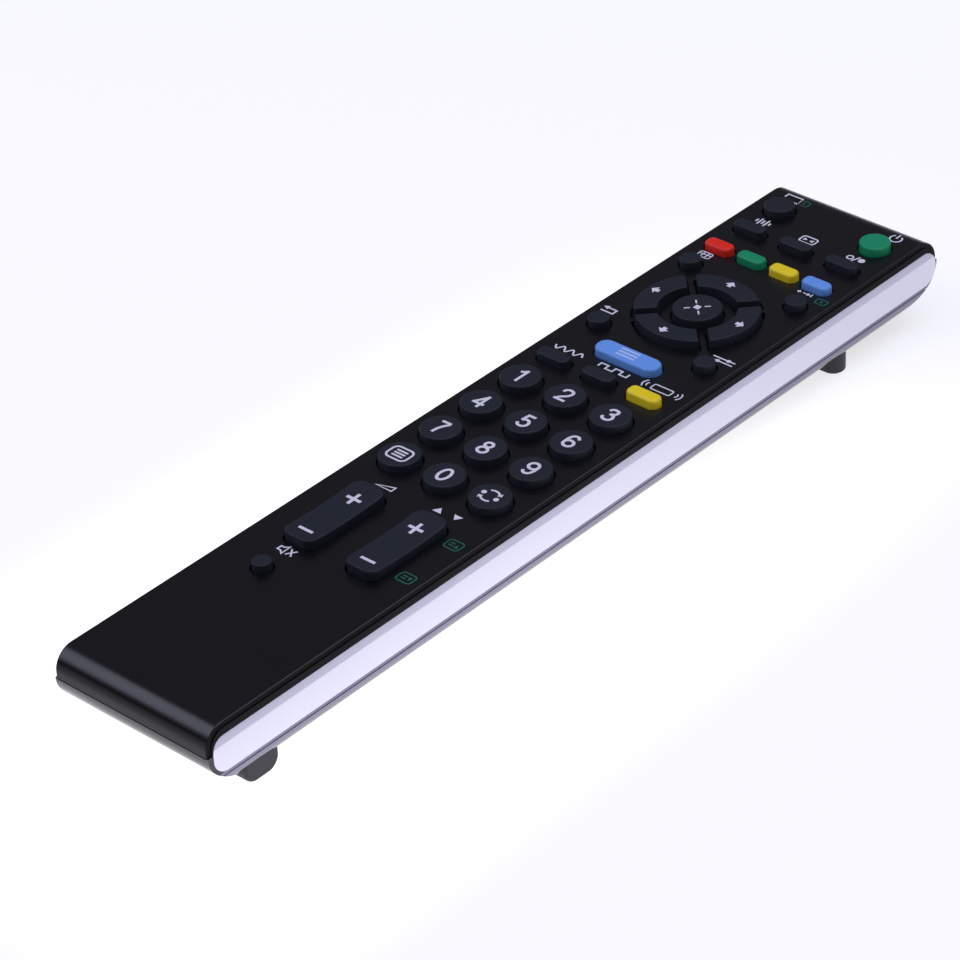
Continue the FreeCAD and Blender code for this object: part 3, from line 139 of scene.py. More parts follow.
MATERIALS = {
    # Face panel, black ABS from a polished mould: deep black, a soft mirror where it rolls over at the ends
    "gloss_panel": moulded("Polished black ABS", "#08080b", 0.28, 0.35, 0.0015, rough_swing=0.03),
    # Its upright ends, with painted shade: a lower specular level dims their mirror image of the bright
    # table, so their lower rolls stay dark
    "shade_dimmed_end": moulded("Black ABS with painted shade", "#08080b", 0.28, 0.35, 0.0015, rough_swing=0.03, specular=0.2),
    # Step round the panel, black ABS made dull as painted shade: no gloss at all, so it looks like a black
    # line instead of mirroring the table; the joint line and the thumb ribs use it as plain matt black
    "matt_black_and_rim_shade": moulded("Matt black ABS", "#08070a", 0.7, 0.35, 0.002, specular=0.15),
    # Lower case, black ABS from a mirror-polished mould: it mirrors what it stands on
    "lower_case": moulded("Black moulded ABS", "#0d0c11", 0.16, 0.35, 0.0012, rough_swing=0.03),
    # Lower edge of the case, a thin sprayed coat of silver lacquer with painted shade: a greyer and much
    # darker copy of the strips' silver, as the band faces down into the shade under the strips
    "shaded_silver_edge": moulded("Silver edge lacquer with painted shade", "#7f7c92", 0.4, 0.25, 0.002, tint=0.02, metallic=0.3),
    # Side strips, ABS sprayed with silver lacquer: even and nearly white under soft light
    "silver_strip": moulded("Silver lacquer", "#e3e1ed", 0.34, 0.25, 0.002, tint=0.015, metallic=0.5,
                            coat=0.2),
    # Sloped upper edge of the strips, the same silver lacquer a little rougher, with painted shade: its
    # colour is a darker copy of the strips' silver, since the slope catches less light
    "shaded_silver_slope": moulded("Sloped silver lacquer with painted shade", "#cfcddd", 0.5, 0.25, 0.002, tint=0.015, metallic=0.2),
    # Window of the beam, acrylic dyed dark and moulded smooth: glossy, and black with a hint of red
    "infrared_window": moulded("Infrared-pass acrylic", "#12060a", 0.07, 0.5, 0.0006, rough_swing=0.02),
    # Black key caps, hard rubber-like plastic with a spark-eroded texture: satin, with a cool cast
    "black_key": moulded("Satin black key plastic", "#1e242b", 0.55, 0.22, 0.004, specular=0.3),
    # Coloured key caps, the same plastic dyed right through: strong even colours without glare
    "red_key": moulded("Satin red key plastic", "#f6301f", 0.4, 0.22, 0.003, tint=0.04, specular=0.3),
    "green_key": moulded("Satin green key plastic", "#1b9765", 0.4, 0.22, 0.003, tint=0.04, specular=0.3),
    "yellow_key": moulded("Satin yellow key plastic", "#fbe126", 0.4, 0.22, 0.003, tint=0.04, specular=0.3),
    "blue_key": moulded("Satin blue key plastic", "#70a5f0", 0.4, 0.22, 0.003, tint=0.04, specular=0.3),
    # Feet, dark moulded rubber: dull, with a skin a little coarser than the plastic's
    "foot": moulded("Moulded rubber", "#24212e", 0.55, 0.3, 0.006),
    # Key sheet, silicone pressed in a heated mould: mid grey with a soft sheen
    "keypad_mat": moulded("Grey silicone", "#6c6f74", 0.6, 0.4, 0.004),
    # Circuit board, pressed paper in phenolic resin: yellow brown with a mottle
    "circuit_board": moulded("Phenolic paper board", "#a9762f", 0.5, 0.8, 0.004),
    # Screws, steel with a bright zinc plating: cool and shiny, with soft edges to its highlights
    "screw_steel": moulded("Zinc plated steel", "#c9c9cc", 0.3, 0.3, 0.002, metallic=1.0),
    # Emitter, cast epoxy resin with a blue dye: as smooth as glass
    "emitter": moulded("Clear blue resin", "#7f93c8", 0.1, 0.6, 0.001),
    # Control chip, epoxy moulded round its frame: dull dark grey
    "chip": moulded("Moulded epoxy", "#26262a", 0.55, 0.25, 0.004),
    # Capacitor, a shrunk sleeve of dark blue vinyl: smooth, with long highlights
    "capacitor": moulded("Shrink sleeve", "#1c2b4d", 0.3, 0.5, 0.002),
    # Cells, steel jacket printed and varnished: grey with a metal gleam, and copper coloured at one end
    "cell": moulded("Printed steel jacket", "#8f949c", 0.3, 0.5, 0.002, metallic=0.6),
    "cell_band": moulded("Copper coloured steel jacket", "#b9793f", 0.3, 0.5, 0.002, metallic=0.6),
    # Battery contacts, spring steel with nickel plating: bright and slightly warm
    "contact": moulded("Nickel plated steel", "#d6d4cd", 0.28, 0.3, 0.002, metallic=1.0),
    # Signs, screen-printed ink: flat and opaque, without gloss
    "white_ink": moulded("White printing ink", "#e6e6ee", 0.5, 0.3, 0.002, tint=0.03),
    "pale_ink": moulded("Pale blue printing ink", "#bcd2fb", 0.5, 0.3, 0.002, tint=0.03),
    "green_ink": moulded("Green printing ink", "#1a6b50", 0.5, 0.3, 0.002, tint=0.05),
}


# Pieces

def body_of_node(node):
    """The body of the record that a CAD node rides on."""
    for body, members in frame["record"]["behaviour"]["bodies"].items():
        if node in members:
            return body
    raise KeyError(node)


def slot_of_node(node):
    """The material slot of the record that a CAD node has."""
    for entry in frame["record"]["subparts"]:
        if entry["node"] == node:
            return entry["material_slot"]
    raise KeyError(node)


def new_piece(name, mesh, material, body):
    """Puts a finished mesh in the scene as a piece that rides on a body."""
    piece = bpy.data.objects.new(name, mesh)
    bpy.context.scene.collection.objects.link(piece)
    mesh.materials.clear()
    mesh.materials.append(MATERIALS[material])
    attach(piece, body)
    return piece


def even_shading(mesh):
    """The mesh with normals weighted by area, so that flat faces stay flat beside their rounded edges."""
    holder = bpy.data.objects.new("holder", mesh)
    bpy.context.scene.collection.objects.link(holder)
    weigh = holder.modifiers.new("weigh", "WEIGHTED_NORMAL")
    weigh.keep_sharp = True
    bpy.context.view_layer.update()
    shaded = bpy.data.meshes.new_from_object(holder.evaluated_get(bpy.context.evaluated_depsgraph_get()))
    bpy.data.objects.remove(holder)
    return shaded


def smooth_copy(node, angle):
    """A copy of a solid with its triangles merged and shaded smooth up to the given angle.

    Level faces keep a sharp border, so that they stay even beside their rounded edges.
    """
    mesh = frame["nodes"][node].data.copy()
    work = bmesh.new()
    work.from_mesh(mesh)
    bmesh.ops.remove_doubles(work, verts=work.verts, dist=1e-7)
    for face in work.faces:
        face.smooth = True
    for edge in work.edges:
        level = [abs(face.normal.z) > 0.99999 for face in edge.link_faces]
        alike = len(level) == 2 and level[0] == level[1]
        edge.smooth = alike and edge.calc_face_angle() < math.radians(angle)
    work.to_mesh(mesh)
    work.free()
    mesh = even_shading(mesh)
    slot = slot_of_node(node)
    piece = new_piece(node + "_skin", mesh, slot, body_of_node(node))
    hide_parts(node)
    for finish, covers in SECOND_FINISHES.get(node, []):
        mesh.materials.append(MATERIALS[finish])
        for face in mesh.polygons:
            if covers(*(abs(distance) / MM for distance in face.center)):
                face.material_index = len(mesh.materials) - 1
    return piece


# Faces of a piece that have another finish, by their distances in millimetres from the middle of the remote,
# across and along it, and from the table
STEP_ACROSS = 21.12
UPRIGHT_ALONG, UPRIGHT_HIGH = 117.2, 19.2
SILVER_ACROSS, SILVER_ALONG, SILVER_HIGH = 20.8, 113.5, 10.05
SLOPE_ACROSS, SLOPE_LOW = 20.9, 16.65


# Faces of the step round the panel, which get the dull black of painted shade
def on_step(across, along, height):
    return across > STEP_ACROSS


# Faces of the upright ends, which get the painted shade of a dimmed reflection
def on_upright_end(across, along, height):
    return along > UPRIGHT_ALONG and height < UPRIGHT_HIGH and across < STEP_ACROSS


# Faces of the lower band under the strips, which get the silver with painted shade
def on_silver_edge(across, along, height):
    return across > SILVER_ACROSS and height < SILVER_HIGH and along < SILVER_ALONG


# Faces of the slope of the strips, which get the painted shade
def on_slope(across, along, height):
    return across > SLOPE_ACROSS and height > SLOPE_LOW


SECOND_FINISHES = {
    "top_shell": [("matt_black_and_rim_shade", on_step), ("shade_dimmed_end", on_upright_end)],
    "bottom_shell": [("shaded_silver_edge", on_silver_edge)],
    "left_side_trim": [("shaded_silver_slope", on_slope)],
    "right_side_trim": [("shaded_silver_slope", on_slope)],
}

# Edges up to this many degrees are shaded smooth; the slope of the strips rolls into their faces
CASE_ANGLE = 32
STRIP_ANGLE = 60

for node in frame["nodes"]:
    smooth_copy(node, STRIP_ANGLE if node.endswith("side_trim") else CASE_ANGLE)


def joint_line():
    """The dark line round the case where its halves meet; the side strips hide it except at the ends.

    It follows the outline of the upper case at its lower rim.
    """
    rim_height, shortest_run = 0.4 * MM, 0.05 * MM
    rim = [vert.co.xy for vert in frame["nodes"]["top_shell"].data.vertices
           if abs(vert.co.z - JOINT_HIGH * MM) < rim_height]
    outline = []
    for place in convex_hull_2d(rim):
        if not outline or (rim[place] - outline[-1]).length > shortest_run:
            outline.append(rim[place])
    work = bmesh.new()
    rings = []
    for before, spot, after in zip([outline[-1]] + outline, outline, outline[1:] + outline[:1]):
        along = ((spot - before).normalized() + (after - spot).normalized()).normalized()
        outward = Vector((along.y, -along.x))
        if outward.dot(spot) < 0:
            outward.negate()
        outer, inner = spot + outward * JOINT_PROUD * MM, spot - outward * JOINT_DEPTH * MM
        corners = ((outer, JOINT_LOW), (outer, JOINT_HIGH), (inner, JOINT_HIGH), (inner, JOINT_LOW))
        rings.append([work.verts.new((point.x, point.y, height * MM)) for point, height in corners])
    for ring, following in zip(rings, rings[1:] + rings[:1]):
        for corner in range(4):
            beside = (corner + 1) % 4
            work.faces.new((ring[corner], following[corner], following[beside], ring[beside]))
    bmesh.ops.recalc_face_normals(work, faces=work.faces)
    mesh = bpy.data.meshes.new("joint_line")
    work.to_mesh(mesh)
    work.free()
    new_piece("joint_line", mesh, "matt_black_and_rim_shade", "case")


joint_line()


# Thumb ribs of the battery cover, in metres: place of the first one, and the named inputs of their tree
FIRST_RIB = (0, -0.0915, 0.0035)
RIB_SIZES = {"Count": 9, "Pitch": 0.0017, "Length": 0.015, "Width": 0.001, "Thickness": 0.0007}


def grip_ribs():
    """The oval patch of low ribs for the thumb, near the end of the battery cover that opens.

    They stand a third of a millimetre proud of the flat underside, and their lengths follow an oval.
    """
    tree = bpy.data.node_groups.new("Grip ribs", "GeometryNodeTree")
    tree.interface.new_socket("Geometry", in_out="INPUT", socket_type="NodeSocketGeometry")
    sockets = {"Count": tree.interface.new_socket("Count", in_out="INPUT", socket_type="NodeSocketInt")}
    for name in ("Pitch", "Length", "Width", "Thickness"):
        sockets[name] = tree.interface.new_socket(name, in_out="INPUT", socket_type="NodeSocketFloat")
    tree.interface.new_socket("Geometry", in_out="OUTPUT", socket_type="NodeSocketGeometry")
    given = add(tree, "NodeGroupInput").outputs
    step = add(tree, "ShaderNodeCombineXYZ", links={"Y": given["Pitch"]})
    row = add(tree, "GeometryNodeMeshLine", {"mode": "OFFSET", "Start Location": FIRST_RIB},
              {"Count": given["Count"], "Offset": step.outputs[0]})
    index = add(tree, "GeometryNodeInputIndex")
    last = add(tree, "ShaderNodeMath", {"operation": "SUBTRACT", 1: 1.0}, {0: given["Count"]})
    share = add(tree, "ShaderNodeMath", {"operation": "DIVIDE"}, {0: index.outputs[0], 1: last.outputs[0]})
    # Each rib is as long as the chord of a circle at its own place, from -0.8 to 0.8 of the circle's radius
    spread = add(tree, "ShaderNodeMapRange", {"To Min": -0.8, "To Max": 0.8}, {"Value": share.outputs[0]})
    square = add(tree, "ShaderNodeMath", {"operation": "MULTIPLY"},
                 {0: spread.outputs[0], 1: spread.outputs[0]})
    rest = add(tree, "ShaderNodeMath", {"operation": "SUBTRACT", 0: 1.0}, {1: square.outputs[0]})
    chord = add(tree, "ShaderNodeMath", {"operation": "SQRT"}, {0: rest.outputs[0]})
    length = add(tree, "ShaderNodeMath", {"operation": "MULTIPLY"}, {0: chord.outputs[0], 1: given["Length"]})
    size = add(tree, "ShaderNodeCombineXYZ", links={"X": length.outputs[0], "Y": given["Width"],
                                                    "Z": given["Thickness"]})
    rib = add(tree, "GeometryNodeMeshUVSphere", {"Segments": 24, "Rings": 12, "Radius": 0.5})
    spaced = add(tree, "GeometryNodeInstanceOnPoints",
                 links={"Points": row.outputs[0], "Instance": rib.outputs[0], "Scale": size.outputs[0]})
    real = add(tree, "GeometryNodeRealizeInstances", links={0: spaced.outputs[0]})
    smooth = add(tree, "GeometryNodeSetShadeSmooth", links={0: real.outputs[0]})
    finish = add(tree, "GeometryNodeSetMaterial", {"Material": MATERIALS["matt_black_and_rim_shade"]}, {0: smooth.outputs[0]})
    add(tree, "NodeGroupOutput", links={0: finish.outputs[0]})
    seed = bpy.data.objects.new("rib_seed", bpy.data.meshes.new("rib_seed"))
    bpy.context.scene.collection.objects.link(seed)
    modifier = seed.modifiers.new("ribs", "NODES")
    modifier.node_group = tree
    for name, value in RIB_SIZES.items():
        modifier[sockets[name].identifier] = value
    bpy.context.view_layer.update()
    mesh = bpy.data.meshes.new_from_object(seed.evaluated_get(bpy.context.evaluated_depsgraph_get()))
    bpy.data.objects.remove(seed)
    new_piece("cover_grip_ribs", mesh, "matt_black_and_rim_shade", body_of_node("battery_cover"))


grip_ribs()


# The bright band of each cell, in millimetres: its two ends along the remote; the cells lie head to tail
CELL_BANDS = {"battery_left": (-56.0, -43.6), "battery_right": (-86.4, -74.0)}
BAND_THICKNESS = 0.03
BAND_BEVEL = 0.1
BAND_STEPS = 64


def cell_bands():
    """The plain bright band round the raised end of each cell."""
    for node, (near, far) in CELL_BANDS.items():
        low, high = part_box(node)
        middle = [(a + b) / 2 for a, b in zip(low, high)]
        full = (high[0] - low[0]) / 2 + BAND_THICKNESS * MM
        narrow = full - BAND_BEVEL * MM
        work = bmesh.new()
        rings = []
        for y, radius in ((near, narrow), (near + BAND_BEVEL, full), (far - BAND_BEVEL, full), (far, narrow)):
            turns = [2 * math.pi * step / BAND_STEPS for step in range(BAND_STEPS)]
            rings.append([work.verts.new((middle[0] + radius * math.cos(turn), y * MM,
                                          middle[2] + radius * math.sin(turn))) for turn in turns])
        for ring, following in zip(rings, rings[1:]):
            for step in range(BAND_STEPS):
                after = (step + 1) % BAND_STEPS
                work.faces.new((ring[step], ring[after], following[after], following[step])).smooth = True
        for ring in (rings[0], rings[-1]):
            work.faces.new(ring)
        bmesh.ops.recalc_face_normals(work, faces=work.faces)
        mesh = bpy.data.meshes.new(node + "_band")
        work.to_mesh(mesh)
        work.free()
        new_piece(node + "_band", mesh, "cell_band", body_of_node(node))


cell_bands()


# Printed signs: strokes and filled patches in millimetres, laid as a thin film on a key or on the panel

def line(*points):
    """A stroke with straight runs."""
    return "stroke", list(points), False


def arc(x, y, radius_x, radius_y, start, stop, steps=20):
    """Part of an oval, from one angle to another, in degrees."""
    points = []
    for step in range(steps + 1):
        angle = math.radians(start + (stop - start) * step / steps)
        points.append((x + radius_x * math.cos(angle), y + radius_y * math.sin(angle)))
    return "stroke", points, False


def oval(x, y, radius_x, radius_y):
    """A closed oval stroke."""
    return "stroke", arc(x, y, radius_x, radius_y, 0, 360, 36)[1][:-1], True


def dot(x, y, radius):
    """A filled round spot."""
    return "patch", arc(x, y, radius, radius, 0, 360, 16)[1][:-1], True


def patch(*points):
    """A filled patch with straight sides."""
    return "patch", list(points), True


def curve(*points):
    """A smooth stroke through the given points."""
    padded = [points[0]] + list(points) + [points[-1]]
    smooth = []
    for a, b, c, d in zip(padded, padded[1:], padded[2:], padded[3:]):
        for step in range(6):
            t = step / 6
            smooth.append(tuple(
                0.5 * (2 * q + (r - p) * t + (2 * p - 5 * q + 4 * r - s) * t * t
                       + (3 * q - p - 3 * r + s) * t ** 3)
                for p, q, r, s in zip(a, b, c, d)))
    return "stroke", smooth + [points[-1]], False


def frame_of(x, y, width, height, corner):
    """The outline of a rounded rectangle."""
    points = []
    for sx, sy, first in ((1, 1, 0), (-1, 1, 90), (-1, -1, 180), (1, -1, 270)):
        middle = (x + sx * (width / 2 - corner), y + sy * (height / 2 - corner))
        points += arc(middle[0], middle[1], corner, corner, first, first + 90, 5)[1]
    return "stroke", points, True


# Numerals are one unit high and stand on the zero line
NUMERALS = {
    "0": [oval(0, 0.5, 0.25, 0.425)],
    "1": [line((0.08, 0), (0.08, 1)), curve((0.05, 0.93), (-0.03, 0.82), (-0.2, 0.755))],
    "2": [curve((-0.245, 0.67), (-0.2, 0.84), (0, 0.925), (0.2, 0.84), (0.235, 0.68), (0.14, 0.47),
                (-0.08, 0.28), (-0.23, 0.075)), line((-0.31, 0.075), (0.3, 0.075))],
    "3": [curve((-0.235, 0.74), (-0.15, 0.88), (0, 0.925), (0.17, 0.87), (0.21, 0.73), (0.13, 0.59),
                (-0.06, 0.545)),
          curve((-0.06, 0.545), (0.15, 0.5), (0.25, 0.31), (0.18, 0.13), (0, 0.07), (-0.18, 0.13),
                (-0.255, 0.28))],
    "4": [line((0.12, 0), (0.12, 1)), line((0.15, 0.97), (-0.26, 0.28)), line((-0.33, 0.3), (0.32, 0.3))],
    "5": [line((0.23, 0.925), (-0.15, 0.925), (-0.21, 0.48)),
          curve((-0.2, 0.49), (-0.02, 0.6), (0.17, 0.53), (0.25, 0.33), (0.18, 0.14), (0, 0.07),
                (-0.17, 0.12), (-0.255, 0.26))],
    "6": [oval(0, 0.305, 0.245, 0.235),
          curve((0.225, 0.76), (0.14, 0.89), (0, 0.93), (-0.16, 0.85), (-0.24, 0.62), (-0.245, 0.33))],
    "7": [line((-0.27, 0.925), (0.25, 0.925)), curve((0.23, 0.88), (0.04, 0.6), (-0.07, 0.3), (-0.1, 0))],
    "8": [oval(0, 0.74, 0.195, 0.185), oval(0, 0.29, 0.24, 0.22)],
    "9": [oval(0, 0.695, 0.245, 0.235),
          curve((-0.225, 0.24), (-0.14, 0.11), (0, 0.07), (0.16, 0.15), (0.24, 0.38), (0.245, 0.67))],
}


def turned(drawing, degrees):
    """The drawing turned round its middle."""
    cosine, sine = math.cos(math.radians(degrees)), math.sin(math.radians(degrees))
    return [(kind, [(x * cosine - y * sine, x * sine + y * cosine) for x, y in points], closed)
            for kind, points, closed in drawing]


def sign(name, drawing, place, body, surface=PANEL_TOP, weight=0.45, ink="white_ink", scale=1.0):
    """Lays a drawing as one film of ink; surface is a height, or a function of y that gives one."""
    level = surface if callable(surface) else lambda y: surface
    work = bmesh.new()

    def column(x, y):
        x, y = place[0] + x * scale, place[1] + y * scale
        low = level(y) - INK / 2 + layer * INK / 8
        return [work.verts.new((x * MM, y * MM, height * MM)) for height in (low, low + INK * 1.5)]

    # Each stroke lies a hair above the one before, so that crossings stay clean
    for layer, (kind, points, closed) in enumerate(drawing):
        if kind == "patch":
            columns = [column(x, y) for x, y in points]
            work.faces.new([pair[1] for pair in columns])
            work.faces.new([pair[0] for pair in reversed(columns)])
            for a, b in zip(columns, columns[1:] + columns[:1]):
                work.faces.new((a[0], b[0], b[1], a[1]))
            continue
        spots = [Vector(point) for point in points]
        pairs = []
        for index, spot in enumerate(spots):
            before = spots[index - 1] if index or closed else None
            after = spots[(index + 1) % len(spots)] if index < len(spots) - 1 or closed else None
            into = (spot - before).normalized() if before is not None else None
            out = (after - spot).normalized() if after is not None else None
            into, out = into or out, out or into
            along = (into + out).normalized()
            side = Vector((-along.y, along.x)) * (weight / scale / 2) / max(along.dot(out), 0.5)
            pairs.append((column(*(spot + side)), column(*(spot - side))))
        loops = list(zip(pairs, pairs[1:] + pairs[:1] if closed else pairs[1:]))
        for (left, right), (next_left, next_right) in loops:
            work.faces.new((left[1], right[1], next_right[1], next_left[1]))
            work.faces.new((left[0], next_left[0], next_right[0], right[0]))
            work.faces.new((left[0], left[1], next_left[1], next_left[0]))
            work.faces.new((right[0], next_right[0], next_right[1], right[1]))
        if not closed:
            for left, right in (pairs[0], pairs[-1]):
                work.faces.new((left[0], right[0], right[1], left[1]))
    bmesh.ops.recalc_face_normals(work, faces=work.faces)
    mesh = bpy.data.meshes.new(name)
    work.to_mesh(mesh)
    work.free()
    return new_piece(name, mesh, ink, body)


def saddle(y):
    """Height of the rockers' hollowed tops."""
    radius = ((ROCKER_LENGTH / 2) ** 2 + ROCKER_DIP ** 2) / (2 * ROCKER_DIP)
    return ROCKER_TOP - ROCKER_DIP + radius - math.sqrt(radius ** 2 - (y - ROCKER_Y) ** 2)


# Drawings of the signs, in millimetres round their middle
ARROW = [patch((0, 1.5), (-1.55, 0), (1.55, 0)),
         patch((-0.6, 0.02), (-0.6, -0.95), (0.6, -0.95), (0.6, 0.02))]
PLUS = [line((-1.95, 0), (1.95, 0)), line((0, -1.95), (0, 1.95))]
MINUS = [line((-1.95, 0), (1.95, 0))]
SELECT = [patch((-0.72, -0.72), (0.72, -0.72), (0.72, 0.72), (-0.72, 0.72))] + [
    line((sx * 1.15, sy * 1.15), (sx * 2.15, sy * 2.15)) for sx in (-1, 1) for sy in (-1, 1)]
TEXT_PAGE = [frame_of(0, 0, 5.4, 4.3, 1.3)] + [line((-1.5, y), (1.5, y)) for y in (-0.95, 0, 0.95)]
JUMP = [arc(0, 0, 2.0, 2.0, 35, 125), arc(0, 0, 2.0, 2.0, 215, 305),
        dot(-1.95, 0.35, 0.62), dot(1.95, -0.35, 0.62),
        patch((2.35, 1.0), (1.2, 0.75), (1.95, 2.0)), patch((-2.35, -1.0), (-1.2, -0.75), (-1.95, -2.0))]
MENU_BARS = [line((-2.6, y), (2.6, y)) for y in (-1.15, 0, 1.15)]
WEDGE = [("stroke", [(-2.2, -0.75), (2.2, -0.75), (2.2, 0.75)], True)]
MUTED = [("stroke", [(-2.1, -0.6), (-1.2, -0.6), (-0.3, -1.4), (-0.3, 1.4), (-1.2, 0.6), (-2.1, 0.6)],
          True),
         line((0.5, -1.1), (2.1, 1.1)), line((0.5, 1.1), (2.1, -1.1))]
PAGE = [frame_of(0, 0, 3.9, 3.0, 0.8), line((-1.2, 0.45), (0.1, 0.45)), line((-1.2, -0.35), (0.1, -0.35))]
PAGE_UP = PAGE + [patch((0.35, -0.7), (1.45, -0.7), (0.9, 0.5))]
PAGE_DOWN = PAGE + [patch((0.35, 0.6), (0.9, -0.6), (1.45, 0.6))]
INPUT = [("stroke", [(-2.2, -0.2), (-2.2, 1.25), (2.0, 1.25), (2.0, -1.25), (0.4, -1.25)], False),
         line((-2.4, -0.9), (-0.7, -0.9)), patch((-0.8, -0.4), (-0.8, -1.4), (0.1, -0.9))]
GREEN_BOX = [frame_of(0, 0, 2.8, 2.0, 0.5), dot(0, -0.05, 0.35)]
POWER = [arc(0, 0, 1.45, 1.45, 125, 415), line((0, 0.1), (0, 1.9))]
SOUND = [line((x, -high), (x, high))
         for x, high in ((-1.8, 0.6), (-0.9, 1.3), (0, 0.8), (0.9, 1.4), (1.8, 0.5))]
WIDE = [frame_of(0, 0, 4.1, 2.6, 0.7), patch((-0.25, 0), (-1.3, 0.6), (-1.3, -0.6)),
        patch((0.25, 0), (1.3, -0.6), (1.3, 0.6))]
DUAL = [oval(-1.5, -0.1, 0.75, 0.75), line((-0.45, -1.2), (0.5, 1.2)), dot(1.55, 0.1, 0.85)]
GUIDE = [frame_of(0, 0, 3.4, 2.3, 0.5), line((-0.6, -1.05), (-0.6, 1.05)), line((0.6, -1.05), (0.6, 1.05)),
         line((-1.6, 0.2), (1.6, 0.2))]
INFO = [line((-2.1, 0), (-1.0, 0)), line((-1.55, -0.55), (-1.55, 0.55)), line((-0.5, 0), (0.9, 0)),
        patch((0.7, -0.55), (0.7, 0.55), (1.6, 0)), line((1.85, -0.6), (1.85, 0.6))]
BACK = [("stroke", [(-0.9, 0.75), (1.6, 0.75), (1.6, -0.85), (-1.8, -0.85)], False),
        patch((-2.1, 0.75), (-0.7, 1.45), (-0.7, 0.05))]
TOOLS = [line((-3.0, y), (3.0, y)) for y in (-1.0, 0.2)] + [dot(-1.0, -1.0, 0.55), dot(1.2, 0.2, 0.55)]
WAVE = [curve(*[(x / 2, 0.8 * math.sin(x * 1.26)) for x in range(-8, 9)])]
PULSES = [("stroke", [(x, y) for x, first in ((-4, -0.7), (-2, 0.7), (0, -0.7), (2, 0.7), (4, -0.7))
                      for y in (first, -first)], False)]
THEATRE = [frame_of(0, 0, 5.2, 2.0, 0.4),
           arc(3.3, 0, 0.9, 0.9, -50, 50, 8), arc(3.3, 0, 1.9, 1.9, -45, 45, 8),
           arc(-3.3, 0, 0.9, 0.9, 130, 230, 8), arc(-3.3, 0, 1.9, 1.9, 135, 225, 8)]
CHANNELS = [patch((-3.6, -0.7), (-1.2, -0.7), (-2.4, 1.0)), patch((1.2, 1.0), (2.4, -0.7), (3.6, 1.0))]

for number in range(1, 10):
    column, row = (number - 1) % 3 - 1, (number - 1) // 3
    sign("numeral_%d" % number, NUMERALS[str(number)],
         (column * COLUMN_PITCH, FIRST_ROW - row * ROW_PITCH - NUMERAL_HEIGHT / 2),
         "number_%d_key_body" % number, NUMBER_TOP, NUMERAL_WEIGHT, scale=NUMERAL_HEIGHT)
last_row = FIRST_ROW - 3 * ROW_PITCH
sign("numeral_0", NUMERALS["0"], (0, last_row - NUMERAL_HEIGHT / 2), "number_0_key_body", NUMBER_TOP,
     NUMERAL_WEIGHT, scale=NUMERAL_HEIGHT)
sign("text_sign", TEXT_PAGE, (-COLUMN_PITCH, last_row), "text_key_body", NUMBER_TOP, 0.5)
sign("jump_sign", JUMP, (COLUMN_PITCH, last_row), "jump_key_body", NUMBER_TOP, 0.5)
sign("select_sign", SELECT, (0, RING_Y), "select_key_body", SELECT_TOP, 0.38)
for key, turn, x, y in (("up", 0, 0, 1), ("left", 90, -1, 0), ("down", 180, 0, -1), ("right", 270, 1, 0)):
    sign(key + "_sign", turned(ARROW, turn), (x * ARROW_RADIUS, RING_Y + y * ARROW_RADIUS), key + "_key_body",
         RING_TOP, scale=0.88)
sign("menu_sign", MENU_BARS, (0, MENU_Y), "menu_key_body", MENU_TOP, 0.55, "pale_ink")
for rocker, side in (("volume", -1), ("channel", 1)):
    sign(rocker + "_plus", PLUS, (side * ROCKER_X, PLUS_Y), rocker + "_rocker_body", saddle, 0.8)
    sign(rocker + "_minus", MINUS, (side * ROCKER_X, MINUS_Y), rocker + "_rocker_body", saddle, 0.8)

# Signs printed on the panel: drawing, place of its middle, width of its strokes and ink
PANEL_SIGNS = {
    "volume_label": (WEDGE, (-8.8, -34.7), 0.35, "white_ink"),
    "channel_label": (CHANNELS, (8.3, -34.5), 0.3, "white_ink"),
    "mute_label": (MUTED, (-8.8, -64.6), 0.38, "white_ink"),
    "page_up_label": (PAGE_UP, (16.8, -41.9), 0.3, "green_ink"),
    "page_down_label": (PAGE_DOWN, (16.9, -56.5), 0.3, "green_ink"),
    "input_label": (INPUT, (-14.7, 111.6), 0.42, "white_ink"),
    "freeze_label": (GREEN_BOX, (-11.4, 111.5), 0.28, "green_ink"),
    "power_label": (POWER, (14.9, 111.6), 0.4, "white_ink"),
    "sound_label": (SOUND, (-13.6, 99.0), 0.46, "white_ink"),
    "screen_label": (WIDE, (-0.4, 98.9), 0.4, "white_ink"),
    "dual_label": (DUAL, (13.1, 98.8), 0.4, "white_ink"),
    "guide_label": (GUIDE, (-15.1, 79.4), 0.3, "white_ink"),
    "info_label": (INFO, (13.1, 80.0), 0.28, "white_ink"),
    "reveal_label": (GREEN_BOX, (18.3, 79.2), 0.3, "green_ink"),
    "return_label": (BACK, (-16.9, 47.7), 0.42, "white_ink"),
    "tools_label": (TOOLS, (16.2, 47.1), 0.4, "white_ink"),
    "analog_label": (WAVE, (-12.9, 29.2), 0.42, "white_ink"),
    "digital_label": (PULSES, (-0.1, 29.2), 0.4, "white_ink"),
    "theatre_label": (THEATRE, (13.2, 29.5), 0.34, "white_ink"),
}
for name, (drawing, place, weight, ink) in PANEL_SIGNS.items():
    sign(name, drawing, place, "case", PANEL_TOP, weight, ink)


# Floor, light and camera, in metres

# The lit table is this bright everywhere, and glows round the outline of the case out to GLOW_REACH
TABLE_REACH = 6.0
TABLE_LIGHT = 0.63
CASE_OUTLINE = (0.0216, 0.1186, 0)
GLOW = 0.5
GLOW_REACH = 0.06
# The glow fades along the remote between these two places, to this share
FADE_START, FADE_END, FADE_LEFT = -0.04, 0.13, 0.05


